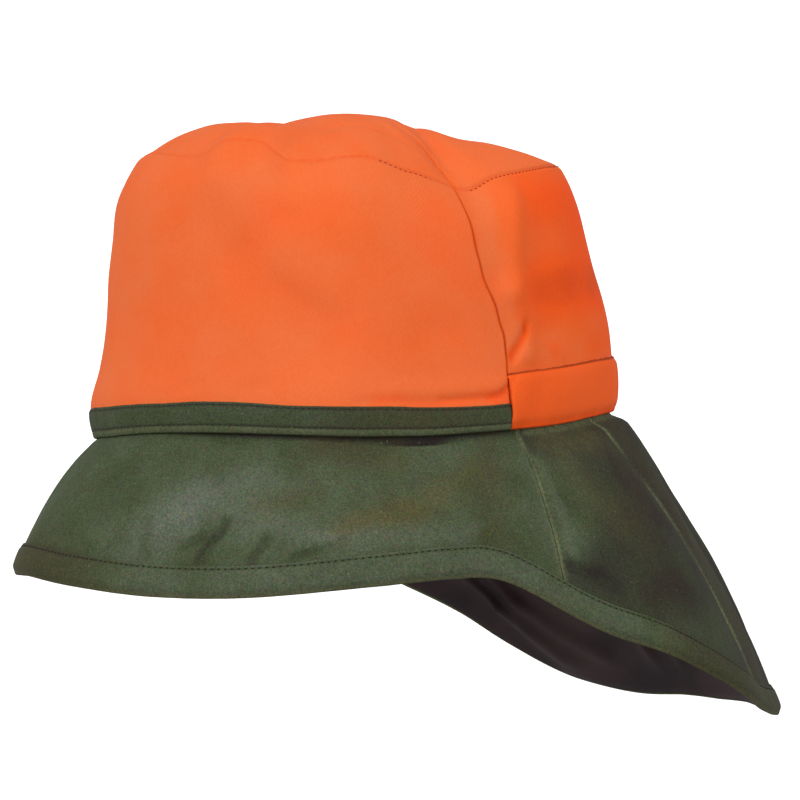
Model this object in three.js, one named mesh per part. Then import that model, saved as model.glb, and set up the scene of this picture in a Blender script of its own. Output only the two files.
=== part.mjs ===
// A sou'wester hat: a soft orange crown whose front and sides end in a green bound edge, and a
// green brim that is short in front and hangs as a long flap behind.
// Millimetres, +Z up, the front of the hat towards -Y, the wearer's left towards +X.
// The origin is the middle of the head opening, at the height of the crown's foot.

import * as THREE from 'three';

// Driving sizes.
const crownLength = 206;      // outside of the crown's foot, front to back
const crownBreadth = 168;     // outside of the crown's foot, side to side
const crownHeight = 107.5;    // foot of the crown to the seam of the top panel
const domeRise = 17.5;        // middle of the top panel above that seam
const crownCloth = 1.6;       // wall of the orange panels, seam allowances pressed in
const layerGap = 0.4;         // room between two layers that lie on each other
const topLip = 5;             // allowance of the top panel turned down inside the wall
const bandWidth = 11;         // green binding along the wrap's lower edge
const bandLeaf = 1.0;         // thickness of its outer leaf
const casingWidth = 23.5;      // orange casing over the foot of the back panel
const casingCloth = 1.3;
const brimReach = 30.5;       // how far the brim stands out from the crown's foot, in front
const brimSideReach = 24.5;   // and at the sides
const brimDrop = 53;          // how far its edge hangs below the foot, in front
const flapReach = 74;         // the same two sizes at the tip of the back flap
const flapDrop = 113;
const brimBelly = 7;          // how far the flap bows out between its ends
const flapShoulder = 4.4;     // and how far it stands out just below the crown's foot
const flapLift = 1.2;         // how much higher it starts there
const brimCloth = 1.2;
const liningCloth = 1.0;
const hemWidth = 11.5;        // binding along the brim's edge
const hemFoot = 1.6;          // width of its thick foot, below the edges of the other layers
const hemLeaf = 0.9;
const collarHeight = 12;      // strip of the brim that goes up inside the crown
const collarDrop = 2;         // and below its foot before the brim turns outwards
const creaseOverlap = 4;      // degrees of back panel under the wrap's rear edge
const slack = 1.6;            // depth of the deepest soft fold in the crown

// Where the pieces end, as angles in degrees from the front, the same on both sides.
const brimSideSeam = 111.2;
const flapSeam = 137.5;
const seamRoom = 0.25;        // degrees left between two brim panels at their seam

// Cross-sections of the crown from foot to top: half-length in front and behind as shares of half
// the crown's length, half-breadth as a share of half its breadth, and how square the oval is.
const crownRings = [
  { height: 0.00, front: 0.986, back: 1.004, side: 0.990, square: 2.10 },
  { height: 0.12, front: 1.001, back: 1.006, side: 0.993, square: 2.10 },
  { height: 0.25, front: 0.966, back: 1.002, side: 0.975, square: 2.12 },
  { height: 0.40, front: 0.943, back: 0.976, side: 0.960, square: 2.15 },
  { height: 0.60, front: 0.932, back: 0.908, side: 0.945, square: 2.20 },
  { height: 0.80, front: 0.914, back: 0.858, side: 0.912, square: 2.25 },
  { height: 0.90, front: 0.882, back: 0.824, side: 0.865, square: 2.30 },
  { height: 1.00, front: 0.815, back: 0.785, side: 0.775, square: 2.30 },
];

// Height of the crown's foot and of its top seam round the hat, as shares of the crown's height.
// The seam sinks where the wrap meets the back panel. Dip is how much lower the foot hangs on the
// right side.
const crownEdges = [
  { angle: 0, foot: -0.014, seam: 0.998, dip: 0 },
  { angle: 15, foot: -0.003, seam: 0.980, dip: 0.020 },
  { angle: 27, foot: 0.005, seam: 0.968, dip: 0.026 },
  { angle: 44, foot: 0.007, seam: 0.958, dip: 0.016 },
  { angle: 60, foot: 0.001, seam: 0.944, dip: 0.006 },
  { angle: 68, foot: -0.002, seam: 0.946, dip: 0.002 },
  { angle: 76, foot: -0.005, seam: 0.959, dip: 0 },
  { angle: 83, foot: -0.004, seam: 0.955, dip: 0 },
  { angle: 90, foot: -0.003, seam: 0.914, dip: 0 },
  { angle: 103, foot: 0.011, seam: 0.853, dip: 0 },
  { angle: 112, foot: 0.021, seam: 0.902, dip: 0 },
  { angle: 121, foot: 0.032, seam: 0.926, dip: 0 },
  { angle: 140, foot: 0.063, seam: 0.958, dip: 0 },
  { angle: 163, foot: 0.080, seam: 0.974, dip: 0 },
  { angle: 180, foot: 0.083, seam: 0.974, dip: 0 },
];

// Line where the wrap's rear edge lies on the back panel, from foot to top seam.
const crease = [
  { height: 0.00, angle: 108.3 },
  { height: 0.22, angle: 107.6 },
  { height: 0.45, angle: 106.2 },
  { height: 0.65, angle: 102.8 },
  { height: 0.88, angle: 100.5 },
  { height: 1.00, angle: 99.4 },
];

// Ridge of the top panel from front seam to back seam: rise is a share of the dome's rise.
const topRidge = [
  { along: -1.00, rise: 0.00 },
  { along: -0.90, rise: 0.50 },
  { along: -0.75, rise: 0.70 },
  { along: -0.59, rise: 0.72 },
  { along: -0.42, rise: 0.66 },
  { along: -0.22, rise: 0.86 },
  { along: 0.00, rise: 0.94 },
  { along: 0.21, rise: 0.76 },
  { along: 0.34, rise: 0.50 },
  { along: 0.42, rise: 0.40 },
  { along: 0.54, rise: 0.36 },
  { along: 0.75, rise: 0.23 },
  { along: 0.90, rise: 0.03 },
  { along: 1.00, rise: -0.15 },
];

// The top seam is pushed up in one lump over the wearer's left brow.
const browLump = { angle: 46.3, spread: 11.8, lift: 0.063 };

// Soft folds of the crown wall. Angles are signed, left side positive; depth is a share of slack,
// positive outwards; width is in degrees.
const wallFolds = [
  { fromAngle: 112.5, fromHeight: 0.25, toAngle: 115, toHeight: 0.55, width: 7, depth: 1.0 },
  { fromAngle: 115, fromHeight: 0.55, toAngle: 121, toHeight: 0.95, width: 7, depth: 1.0 },
  { fromAngle: -112.5, fromHeight: 0.25, toAngle: -115, toHeight: 0.55, width: 7, depth: 1.0 },
  { fromAngle: -115, fromHeight: 0.55, toAngle: -121, toHeight: 0.95, width: 7, depth: 1.0 },
  { fromAngle: 38, fromHeight: 0.72, toAngle: 66, toHeight: 0.34, width: 10, depth: -0.9 },
  { fromAngle: 84, fromHeight: 0.80, toAngle: 92, toHeight: 0.42, width: 9, depth: -0.8 },
  { fromAngle: -48, fromHeight: 0.78, toAngle: -70, toHeight: 0.36, width: 11, depth: -0.9 },
  { fromAngle: -10, fromHeight: 0.86, toAngle: -22, toHeight: 0.45, width: 10, depth: -0.5 },
];

// Soft folds across the top panel, as shares of half its breadth and length.
const topFolds = [
  { fromX: 0.94, fromY: 0.22, toX: 0.20, toY: 0.19, width: 0.085, depth: -2.0 },
  { fromX: -0.94, fromY: 0.22, toX: -0.30, toY: 0.24, width: 0.085, depth: -1.8 },
  { fromX: 0.60, fromY: -0.30, toX: 0.10, toY: -0.40, width: 0.13, depth: -1.0 },
];

// Edge of the brim round the hat, on both sides alike: out is a share of half the brim's breadth,
// along of its reach in front (negative) or behind, fall runs from the front drop (0) to the
// flap's (1), belly and shoulder are shares of the flap's, and sag is how much lower the right side
// hangs.
const brimEdge = [
  { angle: 0, out: 0.000, along: -1.000, fall: 0.000, belly: 0.62, shoulder: 0.4, sag: 0 },
  { angle: 20, out: 0.360, along: -0.938, fall: 0.040, belly: 0.56, shoulder: 0.4, sag: 0 },
  { angle: 40, out: 0.673, along: -0.780, fall: 0.083, belly: 0.48, shoulder: 0.2, sag: 0 },
  { angle: 60, out: 0.885, along: -0.547, fall: 0.080, belly: 0.43, shoulder: 0, sag: 0 },
  { angle: 80, out: 0.977, along: -0.195, fall: 0.017, belly: 0.43, shoulder: 0, sag: 0 },
  { angle: 90, out: 0.982, along: 0.000, fall: -0.017, belly: 0.43, shoulder: 0, sag: 0 },
  { angle: 100, out: 0.986, along: 0.108, fall: -0.008, belly: 0.48, shoulder: 0, sag: -0.040 },
  { angle: 110, out: 0.995, along: 0.240, fall: 0.150, belly: 0.60, shoulder: 0, sag: -0.100 },
  { angle: 117, out: 1.000, along: 0.362, fall: 0.300, belly: 0.78, shoulder: 0, sag: -0.100 },
  { angle: 123, out: 0.986, along: 0.475, fall: 0.437, belly: 0.90, shoulder: 0.1, sag: -0.042 },
  { angle: 129, out: 0.945, along: 0.600, fall: 0.612, belly: 1.00, shoulder: 0.3, sag: 0.036 },
  { angle: 134, out: 0.811, along: 0.729, fall: 0.786, belly: 1.00, shoulder: 0.5, sag: 0.087 },
  { angle: 138, out: 0.608, along: 0.830, fall: 0.917, belly: 1.00, shoulder: 0.65, sag: 0.050 },
  { angle: 150, out: 0.396, along: 0.921, fall: 0.983, belly: 1.00, shoulder: 1, sag: -0.015 },
  { angle: 163, out: 0.258, along: 0.969, fall: 1.000, belly: 1.00, shoulder: 1, sag: -0.020 },
  { angle: 172, out: 0.110, along: 0.995, fall: 1.000, belly: 1.00, shoulder: 1, sag: -0.020 },
  { angle: 180, out: 0.000, along: 1.000, fall: 0.997, belly: 1.00, shoulder: 1, sag: 0 },
];

const halfLength = crownLength / 2;
const halfBreadth = crownBreadth / 2;
const topHalfLength = halfLength * crownRings.at(-1).front;
const topHalfBreadth = halfBreadth * crownRings.at(-1).side;

const orangeCloth = new THREE.MeshStandardMaterial({ color: 0xec6a35, roughness: 0.85, metalness: 0 });
const greenCloth = new THREE.MeshStandardMaterial({ color: 0x4a5740, roughness: 0.8, metalness: 0 });
const darkLining = new THREE.MeshStandardMaterial({ color: 0x2a2022, roughness: 0.7, metalness: 0 });

function smoothStep(value) {
  const k = THREE.MathUtils.clamp(value, 0, 1);
  return k * k * (3 - 2 * k);
}

// Value of a table's column at a place along its key, as a smooth curve through the rows. A round
// table goes on past its ends as a mirror image, with the sign given: 1 for even, -1 for odd.
function readTable(rows, key, column, at, mirror = 0) {
  let i = 0;
  while (i < rows.length - 2 && at > rows[i + 1][key]) i += 1;
  const row = (k) => ({ place: rows[k][key], value: rows[k][column] });
  const a = row(i);
  const b = row(i + 1);
  const reflect = (end, inner) => ({ place: 2 * end.place - inner.place, value: mirror * inner.value });
  const line = (end, inner) => ({ place: 2 * end.place - inner.place, value: 2 * end.value - inner.value });
  const ghost = mirror === 0 ? line : reflect;
  const before = i > 0 ? row(i - 1) : ghost(a, b);
  const after = i < rows.length - 2 ? row(i + 2) : ghost(b, a);
  const step = b.place - a.place;
  const slopeA = (b.value - before.value) / (b.place - before.place);
  const slopeB = (after.value - a.value) / (after.place - a.place);
  const u = (at - a.place) / step;
  const u2 = u * u;
  const u3 = u2 * u;
  return (2 * u3 - 3 * u2 + 1) * a.value + (u3 - 2 * u2 + u) * step * slopeA
    + (3 * u2 - 2 * u3) * b.value + (u3 - u2) * step * slopeB;
}

function wrapAngle(angle) {
  return angle - 360 * Math.round(angle / 360);
}

// How near a place is to a fold's line: 1 on it, falling to nothing at its width and past its ends.
function foldWeight(x, y, x0, y0, x1, y1, width, stretch) {
  const dx = x1 - x0;
  const dy = (y1 - y0) * stretch;
  const px = x - x0;
  const py = (y - y0) * stretch;
  const share = (px * dx + py * dy) / (dx * dx + dy * dy);
  const near = THREE.MathUtils.clamp(share, 0, 1);
  const distance = Math.hypot(px - near * dx, py - near * dy);
  return Math.exp(-((distance / width) ** 2) * 2);
}

// Outside of the crown wall at an angle (degrees from the front) and a share of its height.
function crownPoint(angle, height) {
  const signed = wrapAngle(angle);
  const fold = Math.abs(signed);
  const turn = THREE.MathUtils.degToRad(signed);
  const ring = (column) => readTable(crownRings, 'height', column, height);
  const power = 2 / ring('square');
  const cos = Math.cos(turn);
  const sin = Math.sin(turn);
  const reach = cos > 0 ? ring('front') : ring('back');
  let x = halfBreadth * ring('side') * Math.sign(sin) * Math.abs(sin) ** power;
  let y = -halfLength * reach * Math.sign(cos) * Math.abs(cos) ** power;
  const degreesPerHeight = 60;
  let push = 0;
  for (const f of wallFolds) {
    push += slack * f.depth * foldWeight(signed, height, f.fromAngle, f.fromHeight,
      f.toAngle, f.toHeight, f.width, degreesPerHeight);
  }
  push *= smoothStep((1 - height) / 0.08) * smoothStep(height / 0.12);
  const away = Math.hypot(x, y);
  x += (x / away) * push;
  y += (y / away) * push;
  const lump = browLump.lift * Math.exp(-(((signed - browLump.angle) / browLump.spread) ** 4));
  const dip = signed < 0 ? readTable(crownEdges, 'angle', 'dip', fold, 1) : 0;
  const foot = readTable(crownEdges, 'angle', 'foot', fold, 1) - dip;
  const seam = readTable(crownEdges, 'angle', 'seam', fold, 1) + lump;
  return new THREE.Vector3(x, y, crownHeight * (foot + (seam - foot) * height));
}

function crownNormal(angle, height) {
  const low = Math.min(height, 0.98);
  const across = crownPoint(angle + 0.5, low).sub(crownPoint(angle - 0.5, low));
  const up = crownPoint(angle, low + 0.02).sub(crownPoint(angle, Math.max(low - 0.02, 0)));
  return across.cross(up).normalize();
}

// A point at some distance outside the crown wall; inside it when the distance is negative.
function besideCrown(angle, height, distance) {
  return crownPoint(angle, height).addScaledVector(crownNormal(angle, height), distance);
}

// Top of the dome, from the seam (share 1) to the middle (share 0).
function topPoint(angle, share) {
  const seam = crownPoint(angle, 1);
  const x = seam.x * share;
  const y = seam.y * share;
  const along = THREE.MathUtils.clamp(y / topHalfLength, -1, 1);
  const ridge = crownHeight + domeRise * readTable(topRidge, 'along', 'rise', along);
  const turn = THREE.MathUtils.degToRad(angle);
  const roundness = 2.6 + 3.4 * Math.cos(turn) ** 2;
  const toSeam = share ** roundness;
  let z = seam.z * toSeam + ridge * (1 - toSeam);
  for (const f of topFolds) {
    z += slack * f.depth * (1 - share ** 6) * foldWeight(x / topHalfBreadth, y / topHalfLength,
      f.fromX, f.fromY, f.toX, f.toY, f.width, 1);
  }
  return new THREE.Vector3(x, y, z);
}

// How far the wrap is lifted near its rear edge, where it lies on the back panel.
function wrapLift(angle, height) {
  const start = creaseAngle(height) - 2 * creaseOverlap;
  return (crownCloth + layerGap) * smoothStep((Math.abs(wrapAngle(angle)) - start) / (0.75 * creaseOverlap));
}

const collarInset = crownCloth + layerGap;

function collarPoint(angle, rise) {
  const foot = besideCrown(angle, Math.max(rise, 0) / crownHeight, -collarInset);
  foot.z += Math.min(rise, 0);
  return foot;
}

function shoulderAt(angle) {
  return readTable(brimEdge, 'angle', 'shoulder', Math.abs(wrapAngle(angle)), 1);
}

// How far the collar goes below the crown's foot before the brim turns outwards.
function collarFoot(angle) {
  return collarDrop - flapLift * shoulderAt(angle);
}

// Outside of the brim, from the foot of its collar (share 0) to its edge (share 1).
function brimPoint(angle, share) {
  const signed = wrapAngle(angle);
  const fold = Math.abs(signed);
  const start = collarPoint(angle, -collarFoot(angle));
  const row = (column, mirror) => readTable(brimEdge, 'angle', column, fold, mirror);
  const sag = signed < 0 ? row('sag', 1) : 0;
  const along = row('along', 1);
  const behind = Math.max(along, 0) * (halfLength + flapReach);
  const ahead = Math.min(along, 0) * (halfLength + brimReach);
  const edge = new THREE.Vector3(
    Math.sign(signed) * row('out', -1) * (halfBreadth + brimSideReach),
    ahead + behind,
    -brimDrop - (flapDrop - brimDrop) * (row('fall', 1) + sag),
  );
  const run = edge.clone().sub(start);
  const flat = Math.hypot(run.x, run.y);
  const bow = new THREE.Vector3(-run.z * run.x / flat, -run.z * run.y / flat, flat);
  const belly = brimBelly * row('belly', 1) * 4 * share * (1 - share);
  const shoulder = flapShoulder * shoulderAt(angle) * smoothStep(share / 0.06) * (1 - share) ** 3;
  return start.addScaledVector(run, share).addScaledVector(bow.normalize(), belly + shoulder);
}

function brimNormal(angle, share) {
  const low = THREE.MathUtils.clamp(share, 0.03, 0.97);
  const across = brimPoint(angle + 0.5, low).sub(brimPoint(angle - 0.5, low));
  const down = brimPoint(angle, low + 0.03).sub(brimPoint(angle, low - 0.03));
  return down.cross(across).normalize();
}

function besideBrim(angle, share, distance) {
  return brimPoint(angle, share).addScaledVector(brimNormal(angle, share), distance);
}

// Share of the brim that a width in millimetres takes up, measured from its edge at this angle.
function shareFromEdge(angle, width) {
  return 1 - width / brimPoint(angle, 0).distanceTo(brimPoint(angle, 1));
}

// One closed solid between an outer and an inner grid of points. A grid is a list of columns, each
// a list of points in the same order. With ring set, the last column joins the first; with pole
// set, the last point of every column is the same middle point.
function closedSheet(outer, inner, { ring = false, pole = false } = {}) {
  const columns = outer.length;
  const rows = outer[0].length;
  const positions = [];
  const index = [];
  const place = (grid) => grid.map((column) => column.map((point) => {
    positions.push(point.x, point.y, point.z);
    return positions.length / 3 - 1;
  }));
  const front = place(outer);
  const back = place(inner);
  if (pole) {
    for (const grid of [front, back]) grid.forEach((column) => { column[rows - 1] = grid[0][rows - 1]; });
  }
  const quad = (a, b, c, d) => {
    if (a !== b && b !== c && a !== c) index.push(a, b, c);
    if (a !== c && c !== d && a !== d) index.push(a, c, d);
  };
  const last = ring ? columns : columns - 1;
  for (let i = 0; i < last; i += 1) {
    const next = (i + 1) % columns;
    for (let j = 0; j < rows - 1; j += 1) {
      quad(front[i][j], front[next][j], front[next][j + 1], front[i][j + 1]);
      quad(back[i][j], back[i][j + 1], back[next][j + 1], back[next][j]);
    }
    quad(back[i][0], back[next][0], front[next][0], front[i][0]);
    if (!pole) quad(front[i][rows - 1], front[next][rows - 1], back[next][rows - 1], back[i][rows - 1]);
  }
  if (!ring) {
    const end = columns - 1;
    for (let j = 0; j < rows - 1; j += 1) {
      quad(back[0][j], front[0][j], front[0][j + 1], back[0][j + 1]);
      quad(front[end][j], back[end][j], back[end][j + 1], front[end][j + 1]);
    }
  }
  const geometry = new THREE.BufferGeometry();
  geometry.setAttribute('position', new THREE.Float32BufferAttribute(positions, 3));
  geometry.setIndex(index);
  geometry.computeVertexNormals();
  return geometry;
}

// Evenly spaced values from one end to the other, both included.
function spread(from, to, steps) {
  return Array.from({ length: steps + 1 }, (_, i) => from + (to - from) * i / steps);
}

const bandFoot = crownCloth + layerGap; // height of the band's thick foot, under the wrap's edge
const wallHeights = [0.10, 0.21, 0.36, 0.52, 0.68, 0.80, 0.89, 0.95, 1];
const fullTurn = spread(0, 360, 60).slice(0, -1);

function creaseAngle(height) {
  return readTable(crease, 'height', 'angle', height);
}

// Angles of the wrap's columns at a height: even in front, then close together over the overlap.
function wrapAngles(height) {
  const edge = creaseAngle(height);
  const overlap = [1.5, 1, 0.5, 0].map((share) => edge - share * creaseOverlap);
  const even = spread(-(edge - 2 * creaseOverlap), edge - 2 * creaseOverlap, 36);
  return [...overlap.map((angle) => -angle).reverse(), ...even, ...overlap];
}

// Angles of the back panel's columns at a height, on the wrap's own columns under the overlap.
function backAngles(height) {
  const edge = creaseAngle(height);
  const overlap = [1, 0.5, 0].map((share) => edge - share * creaseOverlap);
  const even = spread(edge + creaseOverlap, 360 - edge - creaseOverlap, 22);
  return [...overlap, ...even, ...overlap.map((angle) => 360 - angle).reverse()];
}

// Grid of points from the angles of each row: one column for each angle, one point for each row.
function rowGrid(rows, anglesOf, pointAt) {
  const angles = rows.map(anglesOf);
  return angles[0].map((_, i) => rows.map((row, j) => pointAt(angles[j][i], row, j)));
}

// Front and sides of the crown, one cloth from crease to crease round the front.
function crownWrap() {
  const heights = [bandFoot / crownHeight, ...wallHeights];
  const grid = (depth) => rowGrid(heights, wrapAngles, (angle, height) => (
    besideCrown(angle, height, wrapLift(angle, height) - depth)));
  return closedSheet(grid(0), grid(crownCloth));
}

// Back of the crown, whose two side edges go under the wrap.
function crownBack() {
  const grid = (depth) => rowGrid([0, ...wallHeights], backAngles, (angle, height) => (
    besideCrown(angle, height, -depth)));
  return closedSheet(grid(0), grid(crownCloth));
}

// Casing over the foot of the back panel, from one rear edge of the wrap to the other.
function backCasing() {
  const heights = [0, 0.10, casingWidth / crownHeight];
  const edgeRoom = THREE.MathUtils.radToDeg(layerGap / halfBreadth);
  const angles = (height) => {
    const [edge, ...even] = backAngles(height).slice(2, -2);
    return [edge + edgeRoom, ...even.slice(0, -1), 360 - edge - edgeRoom];
  };
  const grid = (distance) => rowGrid(heights, angles, (angle, height) => (
    besideCrown(angle, height, distance)));
  return closedSheet(grid(layerGap + casingCloth), grid(layerGap));
}

// Binding along the wrap's lower edge: an outer leaf, and a thicker foot that closes the edge.
function edgeBand() {
  const rises = [0, bandFoot - layerGap, bandFoot, bandWidth];
  const heights = rises.map((rise) => rise / crownHeight);
  const grid = (side) => rowGrid(heights, wrapAngles, (angle, height, j) => {
    const inner = j < 2 ? -crownCloth : layerGap;
    const distance = side === 'outer' ? layerGap + bandLeaf : inner;
    return besideCrown(angle, height, wrapLift(angle, height) + distance);
  });
  return closedSheet(grid('outer'), grid('inner'));
}

// Top panel: a dome with its allowance turned down inside the wall.
function crownTop() {
  const domeShares = [0.93, 0.84, 0.68, 0.46, 0.22, 0];
  const lipHeight = topLip / crownHeight;
  const lipInset = crownCloth + 1.5 * layerGap;
  const column = (angle, depth) => [
    besideCrown(angle, 1 - lipHeight, -lipInset - depth),
    besideCrown(angle, 1, -lipInset - depth),
    ...domeShares.map((share) => topPoint(angle, share).add(new THREE.Vector3(0, 0, -depth))),
  ];
  const grid = (depth) => fullTurn.map((angle) => column(angle, depth));
  return closedSheet(grid(0), grid(crownCloth), { ring: true, pole: true });
}

// Angles of the brim's columns, close together where the flap fans out.
const brimAngles = [
  ...spread(-brimSideSeam, brimSideSeam, 40),
  ...spread(brimSideSeam, flapSeam, 10).slice(1),
  ...spread(flapSeam, 360 - flapSeam, 12).slice(1),
  ...spread(360 - flapSeam, 360 - brimSideSeam, 10).slice(1, -1),
];

const brimShares = [0.10, 0.28, 0.46, 0.64, 0.80];

// A panel of the brim with its collar, between two of those angles.
function brimPanel(fromAngle, toAngle) {
  const column = (angle, depth) => [
    besideCrown(angle, collarHeight / crownHeight, -collarInset - depth),
    collarPoint(angle, -0.8 * collarFoot(angle)).addScaledVector(crownNormal(angle, 0), -depth),
    ...[0.05, ...brimShares, shareFromEdge(angle, hemFoot)].map((share) => (
      besideBrim(angle, share, -depth))),
  ];
  const between = brimAngles.filter((angle) => angle > fromAngle + 1 && angle < toAngle - 1);
  const angles = [fromAngle + seamRoom / 2, ...between, toAngle - seamRoom / 2];
  const grid = (depth) => angles.map((angle) => column(angle, depth).reverse());
  return closedSheet(grid(0), grid(brimCloth));
}

// Lining all round under the brim.
function brimLining() {
  const depth = brimCloth + layerGap;
  const column = (angle, extra) => [...brimShares, shareFromEdge(angle, hemFoot)].reverse().map((share) => (
    besideBrim(angle, share, -depth - extra)));
  const grid = (extra) => brimAngles.map((angle) => column(angle, extra));
  return closedSheet(grid(0), grid(liningCloth), { ring: true });
}

// Binding round the brim's edge: an outer leaf, and a rounded foot under the layers' edges.
function brimHem() {
  const layers = brimCloth + layerGap + liningCloth;
  const roundOff = 0.3; // share of the layers' thickness that is left at the very edge
  const steps = [
    { fromEdge: 0, inner: -roundOff * layers },
    { fromEdge: hemFoot - layerGap, inner: -layers },
    { fromEdge: hemFoot, inner: layerGap },
    { fromEdge: hemWidth, inner: layerGap },
  ];
  const grid = (side) => brimAngles.map((angle) => steps.map((step) => {
    const distance = side === 'outer' ? layerGap + hemLeaf : step.inner;
    return besideBrim(angle, shareFromEdge(angle, step.fromEdge), distance);
  }));
  return closedSheet(grid('outer'), grid('inner'), { ring: true });
}

function piece(name, geometry, material) {
  const mesh = new THREE.Mesh(geometry, material);
  mesh.name = name;
  return mesh;
}

const group = new THREE.Group();
group.add(
  piece('crown_top', crownTop(), orangeCloth),
  piece('crown_wrap', crownWrap(), orangeCloth),
  piece('crown_back', crownBack(), orangeCloth),
  piece('back_casing', backCasing(), orangeCloth),
  piece('edge_band', edgeBand(), greenCloth),
  piece('brim_front', brimPanel(-brimSideSeam, brimSideSeam), greenCloth),
  piece('brim_side_left', brimPanel(brimSideSeam, flapSeam), greenCloth),
  piece('brim_back', brimPanel(flapSeam, 360 - flapSeam), greenCloth),
  piece('brim_side_right', brimPanel(360 - flapSeam, 360 - brimSideSeam), greenCloth),
  piece('brim_lining', brimLining(), darkLining),
  piece('brim_hem', brimHem(), greenCloth),
);

export default group;
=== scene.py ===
import bpy
import numpy as np
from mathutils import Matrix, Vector


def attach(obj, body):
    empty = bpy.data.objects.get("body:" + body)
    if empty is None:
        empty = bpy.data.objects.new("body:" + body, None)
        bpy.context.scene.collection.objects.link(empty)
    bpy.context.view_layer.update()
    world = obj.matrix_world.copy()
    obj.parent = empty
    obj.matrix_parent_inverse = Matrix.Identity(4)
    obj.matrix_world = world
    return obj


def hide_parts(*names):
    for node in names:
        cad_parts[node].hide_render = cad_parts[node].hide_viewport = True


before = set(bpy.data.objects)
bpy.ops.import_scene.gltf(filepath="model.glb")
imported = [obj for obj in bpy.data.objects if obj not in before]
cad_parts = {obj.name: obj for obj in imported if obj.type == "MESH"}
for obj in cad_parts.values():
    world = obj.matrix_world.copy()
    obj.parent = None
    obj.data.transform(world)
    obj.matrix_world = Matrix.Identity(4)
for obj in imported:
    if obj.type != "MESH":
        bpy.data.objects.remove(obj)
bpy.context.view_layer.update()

# Sizes of the hat.
CROWN_LENGTH = 206
CROWN_BREADTH = 168
CROWN_HEIGHT = 107.5
DOME_RISE = 17.5
CROWN_CLOTH = 1.6
LAYER_GAP = 0.4
TOP_LIP = 5
BAND_WIDTH = 11
BAND_LEAF = 1.0
BAND_ROWS = (2.7, BAND_WIDTH - 1.0)  # rows of sewing, from the band's lower edge
CASING_WIDTH = 23.5
CASING_CLOTH = 1.3
BRIM_REACH = 30.5
BRIM_SIDE_REACH = 24.5
BRIM_DROP = 53
FLAP_REACH = 74
FLAP_DROP = 113
BRIM_BELLY = 7  # how far the brim bows out halfway down
FLAP_SHOULDER = 4.4  # how far the flap stands out where it leaves the crown
FLAP_LIFT = 1.2  # how much higher the flap starts
BRIM_CLOTH = 1.2
LINING_CLOTH = 1.0
HEM_WIDTH = 11.5
HEM_FOOT = 1.6
HEM_LEAF = 0.9
HEM_ROW = HEM_WIDTH - 1.2  # row of sewing, from the brim's edge
HEM_SLACK = 3.2  # how much lower the brim's edge hangs under the ears
COLLAR_HEIGHT = 12  # how far the brim's cloth goes up inside the crown
COLLAR_INSET = CROWN_CLOTH + LAYER_GAP
COLLAR_DROP = 2  # how far it goes below the crown's foot
FRONT_LIFT = 2.0  # how much higher the brim starts in front
BAND_FOOT = CROWN_CLOTH + LAYER_GAP  # where the wrap's cloth starts inside the band
CREASE_OVERLAP = 4  # degrees that the back panel goes under the wrap
BACK_SINK = 1.6  # how far it dips there
SLACK = 1.6  # depth of the crown's soft folds

# Seams across the brim, in degrees, and the room between the panels that meet there.
BRIM_SIDE_SEAM = 111.2
FLAP_SEAM = 137.5
SEAM_ROOM = 0.25

HALF_LENGTH = CROWN_LENGTH / 2
HALF_BREADTH = CROWN_BREADTH / 2
MM_PER_DEGREE = 1.64  # along the crown's foot
BRIM_RUN = 60  # millimetres from the crown to the brim's edge
BRIM_SPREAD = 0.35  # how much longer the brim's edge is than the crown's foot
DEGREES_PER_HEIGHT = 60  # a height of 1 counts as so many degrees in the lines below
DEGREES_PER_SHARE = 30
CALM = 6  # degrees behind, where the two sides meet, that stay free of unevenness

# Cross-sections of the crown from foot to top, as shares of its half-length and half-breadth.
CROWN_RINGS = {
    "height": [0.00, 0.12, 0.25, 0.40, 0.60, 0.80, 0.90, 1.00],
    "front": [0.986, 1.001, 0.966, 0.943, 0.932, 0.914, 0.882, 0.815],
    "back": [1.004, 1.006, 1.002, 0.976, 0.908, 0.858, 0.824, 0.785],
    "side": [0.990, 0.993, 0.975, 0.960, 0.945, 0.912, 0.865, 0.775],
    "square": [2.10, 2.10, 2.12, 2.15, 2.20, 2.25, 2.30, 2.30],
}
TOP_HALF_LENGTH = HALF_LENGTH * CROWN_RINGS["front"][-1]
TOP_HALF_BREADTH = HALF_BREADTH * CROWN_RINGS["side"][-1]

# Height of the crown's foot and top seam round the hat, as shares of the crown's height, and how much
# lower the foot hangs on the right side.
CROWN_EDGES = {
    "angle": [0, 15, 27, 44, 60, 68, 76, 83, 90, 103, 112, 121, 140, 163, 180],
    "foot": [-0.014, -0.003, 0.005, 0.007, 0.001, -0.002, -0.005, -0.004, -0.003, 0.011, 0.021,
             0.032, 0.063, 0.080, 0.083],
    "seam": [0.998, 0.980, 0.968, 0.958, 0.944, 0.946, 0.959, 0.955, 0.914, 0.853, 0.902, 0.926,
             0.958, 0.974, 0.974],
    "dip": [0, 0.020, 0.026, 0.016, 0.006, 0.002, 0, 0, 0, 0, 0, 0, 0, 0, 0],
}

# Line where the wrap's rear edge lies on the back panel.
CREASE = {
    "height": [0.00, 0.22, 0.45, 0.65, 0.88, 1.00],
    "angle": [108.3, 107.6, 106.2, 102.8, 100.5, 99.4],
}

# Ridge of the top panel from front seam to back seam, as a share of the dome's rise.
TOP_RIDGE = {
    "along": [-1.00, -0.90, -0.75, -0.59, -0.42, -0.22, 0.00, 0.21, 0.34, 0.42, 0.54, 0.75, 0.90,
              1.00],
    "rise": [0.00, 0.50, 0.70, 0.72, 0.66, 0.86, 0.94, 0.76, 0.50, 0.40, 0.36, 0.23, 0.03, -0.15],
}

# Lump in the top seam over the left brow: its middle, its spread and its lift.
BROW_LUMP = (46.3, 11.8, 0.063)

# Every fold and crease below runs from one place to another: its two places, its width and its depth,
# positive outwards.

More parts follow.
